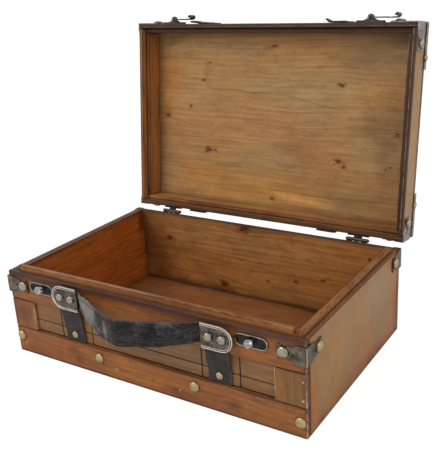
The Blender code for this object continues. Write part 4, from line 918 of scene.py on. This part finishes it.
def nail_shape():
    """A domed nail head of radius 1, with a small rolled rim."""
    rim_height, dome_radius, dome_height, steps = 0.12, 0.95, 0.38, 8
    profile = [(0, -0.02), (0.90, -0.02), (0.985, 0.02), (1.0, 0.07), (0.97, rim_height)]
    for step in range(1, steps):
        turn = math.radians(90 * step / steps)
        profile.append((dome_radius * math.cos(turn), rim_height + dome_height * math.sin(turn)))
    return turned_shape("nail_head", profile + [(0, 0.50)])


def brad_shape():
    """The small flat head of a brad, of radius 1."""
    return turned_shape("brad_head", [(0, -0.1), (0.95, -0.1), (1.0, 0.1), (0.8, 0.28), (0, 0.36)], 10)


def stitch_shape():
    """A stitch of length 2 along X, flattened."""
    profile = [(0, -1), (0.16, -0.92), (0.24, -0.6), (0.26, 0), (0.24, 0.6), (0.16, 0.92), (0, 1)]
    shape = turned_shape("stitch", profile, 8)
    shape.data.transform(Matrix.Diagonal((1, 1, 0.8, 1)) @ Matrix.Rotation(math.pi / 2, 4, "Y"))
    return shape


def mirrored_spots(rows):
    """Spots on both sides, from rows for the right one: place, facing, size and how grey."""
    spots = []
    for (x, y, z), facing, size, grey in rows:
        along = TO_RIGHT if facing == UP else UP
        spots.append((Vector((-x, y, z)), TO_LEFT if facing == TO_RIGHT else facing, along, size, grey))
        spots.append((Vector((x, y, z)), facing, along, size, grey))
    return spots


def base_nail_spots(size):
    """The nails of the base: on the brackets, the handle's plates, the bottom rail and the front straps."""
    spots = mirrored_spots((
        ((0.1669, -0.1235, 0.0881), TO_FRONT, size, 0.8), ((0.1915, -0.0989, 0.0881), TO_RIGHT, size, 0.1),
        ((0.1710, 0.1235, 0.0922), TO_BACK, size, 0.2), ((0.1915, 0.1030, 0.0922), TO_RIGHT, size, 0.2),
    ))
    for x in (0.0889, 0.1044):
        for place in ((-x, HANDLE_PLATE_FACE, 0.0895), (x, HANDLE_PLATE_FACE, 0.0876)):
            spots.append((Vector(place), TO_FRONT, UP, HANDLE_RIVET, 0.8))
    for x, z in ((-0.18316, 0.0215), (-0.06232, 0.0215), (0.06384, 0.0215), (0.18316, 0.0170)):
        spots.append((Vector((x, FRONT, z)), TO_FRONT, UP, size, 0.05))
    for x in FRONT_STRAPS:
        spots.append((Vector((x, -0.1209, 0.042)), TO_FRONT, UP, STRAP_RIVET, 0.3))
    return spots


def lid_nail_spots(size):
    """The nails of the lid: on its brackets and caps, given on the closed lid and set on the open one."""
    spots = mirrored_spots((
        ((0.1669, -0.1235, 0.1173), TO_FRONT, size, 1.0), ((0.1915, -0.0989, 0.1173), TO_RIGHT, size, 0.9),
        ((0.1710, 0.1235, 0.1173), TO_BACK, size, 0.3), ((0.1915, 0.1030, 0.1173), TO_RIGHT, size, 0.3),
        ((0.1825, -0.1145, 0.1418), UP, size, 0.3), ((0.1825, 0.1145, 0.1418), UP, size, 0.3),
        ((0.1525, -0.1233, 0.1373), TO_FRONT, CAP_NAIL, 0.2), ((0.1525, 0.1233, 0.1373), TO_BACK, CAP_NAIL, 0.2),
        ((0.1913, -0.0845, 0.1373), TO_RIGHT, CAP_NAIL, 0.2), ((0.1913, 0.0845, 0.1373), TO_RIGHT, CAP_NAIL, 0.2),
    ))
    return [(OPEN @ place, LID_TURN @ facing, LID_TURN @ along, *rest) for place, facing, along, *rest in spots]


def brad_spots(size):
    """The brads: in the front frame, and in the left liner near the back corner."""
    places = ((-0.178, 0.013), (-0.039, 0.0135), (0.045, 0.012), (0.186, 0.061), (0.186, 0.041))
    spots = [(Vector((x, FRONT, z)), TO_FRONT, UP, size, 0.0) for x, z in places]
    for y, z in ((0.1027, 0.0943), (0.1012, 0.0844)):
        spots.append((Vector((LEFT_LINER_FACE, y, z)), TO_RIGHT, UP, size, 0.0))
    return spots


def smooth(share):
    """An even ease from 0 to 1."""
    share = min(max(share, 0), 1)
    return share * share * (3 - 2 * share)


def bump(share, middle, width):
    """A rounded bump of height 1 at this middle, and as good as flat from about two widths away."""
    return math.exp(-(((share - middle) / width) ** 2))


def front_strap_stations(centre, half_thickness):
    """A front strap: out at the top, under the plate, and dipping onto the recessed panel."""
    top, length, steps = 0.0965, 0.0620, 44
    dip_start, dip_length, dip_depth = 0.0700, 0.0280, 0.0034
    stations = []
    for step in range(steps + 1):
        height = top - length * step / steps
        depth = FRONT + smooth((dip_start - height) / dip_length) * dip_depth - CLEARANCE - half_thickness
        wave = 0.00025 * math.sin(height * 260 + centre * 90)
        place = Vector((centre + wave, depth, height))
        stations.append((place, TO_RIGHT, TO_FRONT, FRONT_STRAP_HALF_WIDTH, half_thickness))
    return stations


def lid_strap_stations(centre, half_thickness):
    """A lid strap along its path on the closed lid, then set on the open lid."""
    gap, bend = CLEARANCE + half_thickness, 0.0022
    near, far, top = FRONT - gap, BACK + gap, LID_TOP + gap
    front_end, back_end = RIM + 0.0035, RIM + 0.0020
    flank, crown, turns = 15, 60, [math.radians(15 * step) for step in range(1, 6)]
    path = [(near, front_end + (top - bend - front_end) * step / flank) for step in range(flank + 1)]
    path += [(near + bend * (1 - math.cos(turn)), top - bend * (1 - math.sin(turn))) for turn in turns]
    path += [(near + bend + (far - near - 2 * bend) * step / crown, top) for step in range(crown + 1)]
    path += [(far - bend * (1 - math.sin(turn)), top - bend * (1 - math.cos(turn))) for turn in turns]
    path += [(far, top - bend - (top - bend - back_end) * step / flank) for step in range(flank + 1)]
    stations = []
    for index, (y, z) in enumerate(path):
        (y_before, z_before), (y_after, z_after) = path[max(index - 1, 0)], path[min(index + 1, len(path) - 1)]
        run = Vector((0, y_after - y_before, z_after - z_before)).normalized()
        out = LID_TURN @ Vector((0, -run.z, run.y))
        wave = 0.0003 * math.sin(index * 0.5 + centre * 70)
        place = OPEN @ Vector((centre + wave, y, z))
        stations.append((place, TO_RIGHT, out, LID_STRAP_HALF_WIDTH, half_thickness))
    return stations


def loose_end(along):
    """How free a lid strap is: fully at its front end, not at all once it is on the lid's top."""
    return smooth(1 - along / 0.13)


def humped_end(along, across):
    """The left lid strap's front end, humped and lifted at its left edge."""
    hump = bump(across, -0.45, 0.45) * 0.0020 + smooth((-across - 0.5) / 0.5) * 0.0008
    return hump * loose_end(along) + 0.00012 * math.sin(along * 70 + across * 3)


def curled_edge(along, across):
    """The right lid strap's front end, its left edge curled up."""
    curl = smooth((-across - 0.62) / 0.38) * 0.0034
    return curl * loose_end(along) + 0.00012 * math.sin(along * 64 + across * 2)


def creased(along, across):
    """The handle's leather, creased where it bends."""
    ends = smooth(along / 0.16) * smooth((1 - along) / 0.16)
    fold = bump(along, 0.42, 0.010) + 0.8 * bump(along, 0.37, 0.012)
    hump = bump(along, 0.175, 0.016) * (0.5 + 0.5 * across) + 0.5 * bump(along, 0.225, 0.014)
    wave = 0.0005 * math.sin(along * 41 + across * 1.4)
    return ends * (wave + 0.0007 * fold * (0.6 + 0.4 * across) + 0.0022 * hump)


def bow(share):
    """How far the handle stands off at this share of its half span."""
    def curve(value):
        return (value * value + 0.0025) ** 0.625

    return HANDLE_BOW * (curve(1) - curve(share)) / (curve(1) - curve(0))


def handle_line(x):
    """The handle's middle line and half height at this place along it."""
    share = max(min(x / HANDLE_BEND, 1), -1)
    middle = 1 - share * share
    upper, lower = 0.1004 + 0.0010 * middle, 0.0780 - 0.0068 * middle
    y = HANDLE_TAB_MIDDLE - (bow(share) if abs(x) < HANDLE_BEND else 0)
    return Vector((x, y, (upper + lower) / 2)), (upper - lower) / 2


def handle_stations(thickness):
    """The handle: flat tabs under the plates and a bowed, slightly wavy band between them."""
    stations, steps, apart = [], 120, 0.001
    for step in range(steps + 1):
        x = -HANDLE_REACH + 2 * HANDLE_REACH * step / steps
        centre, half = handle_line(x)
        run = handle_line(x + apart)[0] - handle_line(x - apart)[0]
        run.z = 0
        run.normalize()
        centre.z += 0.0004 * math.sin(x * 95)
        stations.append((centre, UP, Vector((run.y, -run.x, 0)), half - CLEARANCE, thickness / 2))
    return stations


def stitch_spots(stations, rows, spacing, size, skip, lift):
    """Rows of stitches on the outside of a strap, each at a side and how far in from that edge."""
    spots = []
    for side, inset in rows:
        travelled = 0.0
        for index in range(skip, len(stations) - skip - 1):
            centre, across, out, half_width, half_thickness = stations[index]
            run = stations[index + 1][0] - centre
            travelled += run.length
            if travelled >= spacing:
                travelled -= spacing
                off = lift(index / (len(stations) - 1), side * (1 - inset / half_width))
                place = centre + across * side * (half_width - inset) + out * (half_thickness + off + size * 0.02)
                spots.append((place, out, run.normalized(), size, 0.0))
    return spots


class BoxSizes(bpy.types.PropertyGroup):
    """Sizes that a user would change."""

    nail_size: bpy.props.FloatProperty(
        name="Nail Size", description="Radius of the large domed nails", default=NAIL, unit="LENGTH", precision=4
    )
    handle_thickness: bpy.props.FloatProperty(
        name="Handle Thickness", description="Thickness of the handle's leather", default=0.0026, unit="LENGTH",
        precision=4,
    )
    strap_thickness: bpy.props.FloatProperty(
        name="Strap Thickness", description="Thickness of the straps' leather", default=0.0020, unit="LENGTH",
        precision=4,
    )
    stitch_spacing: bpy.props.FloatProperty(
        name="Stitch Spacing", description="Distance from one stitch to the next", default=0.0046, unit="LENGTH",
        precision=4,
    )
    brad_size: bpy.props.FloatProperty(
        name="Brad Size", description="Radius of the small brads' heads", default=BRAD, unit="LENGTH", precision=4
    )


class StageSettings(bpy.types.PropertyGroup):
    """Light and floor."""

    floor_colour: bpy.props.FloatVectorProperty(
        name="Floor Colour", description="Colour of the floor", default=(0.92, 0.92, 0.92), subtype="COLOR", size=3
    )
    key_power: bpy.props.FloatProperty(
        name="Key Power", description="Power of the large lamp above and in front", default=13.0, unit="POWER"
    )
    room_light: bpy.props.FloatProperty(
        name="Room Light", description="Strength of the even light all round", default=0.62
    )


class SUITCASEBOX_OT_stage(bpy.types.Operator):
    """Sets the camera, the lamps, the room's light and the floor"""

    bl_idname = "suitcasebox.stage"
    bl_label = "Stage"

    def execute(self, context):
        settings = context.scene.suitcasebox_stage
        context.scene.view_settings.view_transform = "Standard"
        self.camera(context)
        self.room(context, settings)
        self.lamp(context, "key_lamp", (-1.3, -1.5, 2.1), 1.3, settings.key_power * 2.1)
        self.lamp(context, "side_lamp", (1.9, -0.5, 1.2), 1.2, settings.key_power)
        self.floor(context, settings)
        return {"FINISHED"}

    def camera(self, context):
        """The photograph's view."""
        yaw, pitch, roll = (math.radians(angle) for angle in CAMERA_TURN)
        ahead = Vector((-math.sin(yaw) * math.cos(pitch), math.cos(yaw) * math.cos(pitch), -math.sin(pitch)))
        level = Vector((math.cos(yaw), math.sin(yaw), 0))
        above = level.cross(ahead)
        right = math.cos(roll) * level + math.sin(roll) * above
        top = math.cos(roll) * above - math.sin(roll) * level
        lens = bpy.data.cameras.new("camera")
        lens.sensor_width = SENSOR
        lens.lens = FOCAL / FRAME_HEIGHT * SENSOR
        camera = bpy.data.objects.new("camera", lens)
        turned = Matrix((right, top, -ahead)).transposed().to_4x4()
        camera.matrix_world = Matrix.Translation(CAMERA_PLACE) @ turned
        context.scene.collection.objects.link(camera)
        context.scene.camera = camera

    def room(self, context, settings):
        """Even light all round, white where the camera, metal and glass see past the object."""
        world = bpy.data.worlds.new("room")
        world.use_nodes = True
        context.scene.world = world
        nodes = Nodes(world.node_tree)
        world.node_tree.nodes.clear()
        seen = nodes.add("ShaderNodeLightPath").outputs
        direct = nodes.math("MAXIMUM", seen["Is Camera Ray"], seen["Is Transmission Ray"])
        direct = nodes.math("MAXIMUM", direct, seen["Is Glossy Ray"])
        light = nodes.add("ShaderNodeBackground", {"Color": WHITE, "Strength": settings.room_light})
        white = nodes.add("ShaderNodeBackground", {"Color": WHITE, "Strength": 1.0})
        blend = nodes.add("ShaderNodeMixShader", {0: direct, 1: light.outputs[0], 2: white.outputs[0]})
        nodes.add("ShaderNodeOutputWorld", {0: blend.outputs[0]})

    def lamp(self, context, name, place, size, power):
        """A square soft box aimed at the case."""
        light = bpy.data.lights.new(name, "AREA")
        light.energy = power
        light.size = size
        lamp = bpy.data.objects.new(name, light)
        aim = Vector((0, 0, 0.15)) - Vector(place)
        lamp.matrix_world = Matrix.Translation(place) @ aim.to_track_quat("-Z", "Y").to_matrix().to_4x4()
        context.scene.collection.objects.link(lamp)

    def floor(self, context, settings):
        """A wide pale floor that the camera sees nearly white, with the object's shadow."""
        mesh = bpy.data.meshes.new("floor")
        mesh.from_pydata([(-6, -6, 0), (6, -6, 0), (6, 6, 0), (-6, 6, 0)], [], [(0, 1, 2, 3)])
        material, nodes, shader = new_material("pale_floor")
        shader.inputs["Base Color"].default_value = tuple(settings.floor_colour) + (1,)
        shader.inputs["Roughness"].default_value = 0.8
        seen = nodes.add("ShaderNodeLightPath").outputs["Is Camera Ray"]
        pale = nodes.add("ShaderNodeEmission", {"Color": WHITE, "Strength": nodes.math("MULTIPLY", seen, 0.86)})
        soft = nodes.add("ShaderNodeBsdfDiffuse", {"Color": (0.26, 0.26, 0.26, 1)})
        white = nodes.add("ShaderNodeAddShader", {0: pale.outputs[0], 1: soft.outputs[0]})
        blend = nodes.add("ShaderNodeMixShader", {0: seen, 1: shader.outputs[0], 2: white.outputs[0]})
        output = next(node for node in material.node_tree.nodes if node.type == "OUTPUT_MATERIAL")
        material.node_tree.links.new(blend.outputs[0], output.inputs[0])
        mesh.materials.append(material)
        floor = bpy.data.objects.new("floor", mesh)
        floor.location.z = -0.0004
        context.scene.collection.objects.link(floor)


class SUITCASEBOX_OT_boards(bpy.types.Operator):
    """Stains the boards of the base and the lid"""

    bl_idname = "suitcasebox.boards"
    bl_label = "Boards"

    def execute(self, context):
        groups = {"edge": edge_group(), "spot": spot_group(), "vein": vein_group(), "wood": wood_group()}
        for name, faces in board_looks().items():
            give([name], board_material(name, groups, faces))
        return {"FINISHED"}


class SUITCASEBOX_OT_metalwork(bpy.types.Operator):
    """Ages the brackets, caps, plates, hinges, latches and studs"""

    bl_idname = "suitcasebox.metalwork"
    bl_label = "Metalwork"

    def execute(self, context):
        made = finishes()
        kinds = {
            "aged_plate": ("base_bracket",),
            "aged_lid_plate": ("lid_bracket", "lid_cap"),
            "handle_plate_metal": ("handle_plate",),
            "catch_plate_metal": ("catch_plate",),
            "dark_metal": ("latch_plate", "hinge_base", "hinge_lid", "hinge_pin", "latch_hook"),
            "bright_metal": ("catch_stud",),
            "nail_brass": ("rail_nail", "strap_rivet"),
        }
        for material, starts in kinds.items():
            give([name for name in CAD if name.startswith(starts)], made[material])
        return {"FINISHED"}


class SUITCASEBOX_OT_nails(bpy.types.Operator):
    """Sets the domed nail heads on the base and the lid"""

    bl_idname = "suitcasebox.nails"
    bl_label = "Domed Nails"

    def execute(self, context):
        size = context.scene.suitcasebox_sizes.nail_size
        shape = nail_shape()
        tree = set_pieces_tree("Set nails", finishes()["nail_brass"])
        nails = set_pieces("base_nails", base_nail_spots(size), shape, tree, "base")
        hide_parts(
            "rail_nail_1", "rail_nail_2", "rail_nail_3", "rail_nail_4", "strap_rivet_left", "strap_rivet_right"
        )
        set_pieces("lid_nails", lid_nail_spots(size), shape, tree, "lid")
        bpy.data.objects.remove(shape)
        return {"FINISHED"}


class SUITCASEBOX_OT_brads(bpy.types.Operator):
    """Sets the small brads in the front frame and the left liner"""

    bl_idname = "suitcasebox.brads"
    bl_label = "Brads"

    def execute(self, context):
        size = context.scene.suitcasebox_sizes.brad_size
        shape = brad_shape()
        tree = set_pieces_tree("Set brads", finishes()["brad_steel"])
        set_pieces("brads", brad_spots(size), shape, tree, "base", 0.15)
        bpy.data.objects.remove(shape)
        return {"FINISHED"}


class SUITCASEBOX_OT_straps(bpy.types.Operator):
    """Makes the leather straps on the front and round the lid"""

    bl_idname = "suitcasebox.straps"
    bl_label = "Straps"

    def execute(self, context):
        half = context.scene.suitcasebox_sizes.strap_thickness / 2
        leather = finishes()["strap_leather"]
        for side, centre in zip(("left", "right"), FRONT_STRAPS):
            stations = front_strap_stations(centre, half)
            strap = loft(f"front_strap_{side}", stations, leather, "base")
            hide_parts(f"strap_{side}")
        for side, centre, lift in zip(("left", "right"), LID_STRAPS, (humped_end, curled_edge)):
            stations = lid_strap_stations(centre, half)
            strap = loft(f"lid_band_{side}", stations, leather, "lid", lift)
            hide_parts(f"lid_strap_{side}")
        return {"FINISHED"}


class SUITCASEBOX_OT_handle(bpy.types.Operator):
    """Makes the leather handle and its stitches"""

    bl_idname = "suitcasebox.handle"
    bl_label = "Handle"

    def execute(self, context):
        sizes = context.scene.suitcasebox_sizes
        stations = handle_stations(sizes.handle_thickness)
        handle = loft("handle", stations, finishes()["handle_leather"], "base", creased)
        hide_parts("handle_band")
        shape = stitch_shape()
        tree = set_pieces_tree("Set stitches", finishes()["thread"])
        rows = ((-1, 0.0028), (-1, 0.0062), (1, 0.0034))
        spots = stitch_spots(stations, rows, sizes.stitch_spacing, 0.0016, 18, creased)
        set_pieces("handle_stitches", spots, shape, tree, "base", 0.05)
        bpy.data.objects.remove(shape)
        return {"FINISHED"}


class SUITCASEBOX_PT_panel(bpy.types.Panel):
    """Lists the pieces of the box"""

    bl_label = "Suitcase Box"
    bl_idname = "SUITCASEBOX_PT_panel"
    bl_space_type = "VIEW_3D"
    bl_region_type = "UI"
    bl_category = "Suitcase Box"

    def draw(self, context):
        for settings in (context.scene.suitcasebox_sizes, context.scene.suitcasebox_stage):
            for name in settings.__annotations__:
                self.layout.prop(settings, name)
        for operator in OPERATORS:
            self.layout.operator(operator.bl_idname)


OPERATORS = (
    SUITCASEBOX_OT_stage,
    SUITCASEBOX_OT_boards,
    SUITCASEBOX_OT_metalwork,
    SUITCASEBOX_OT_nails,
    SUITCASEBOX_OT_brads,
    SUITCASEBOX_OT_straps,
    SUITCASEBOX_OT_handle,
)
CLASSES = (BoxSizes, StageSettings, *OPERATORS, SUITCASEBOX_PT_panel)


def register():
    for kind in CLASSES:
        bpy.utils.register_class(kind)
    bpy.types.Scene.suitcasebox_sizes = bpy.props.PointerProperty(type=BoxSizes)
    bpy.types.Scene.suitcasebox_stage = bpy.props.PointerProperty(type=StageSettings)


def unregister():
    del bpy.types.Scene.suitcasebox_sizes
    del bpy.types.Scene.suitcasebox_stage
    for kind in reversed(CLASSES):
        bpy.utils.unregister_class(kind)


def main():
    """Makes everything in order."""
    register()
    for operator in OPERATORS:
        group, name = operator.bl_idname.split(".")
        getattr(getattr(bpy.ops, group), name)()


if __name__ == "__main__":
    main()
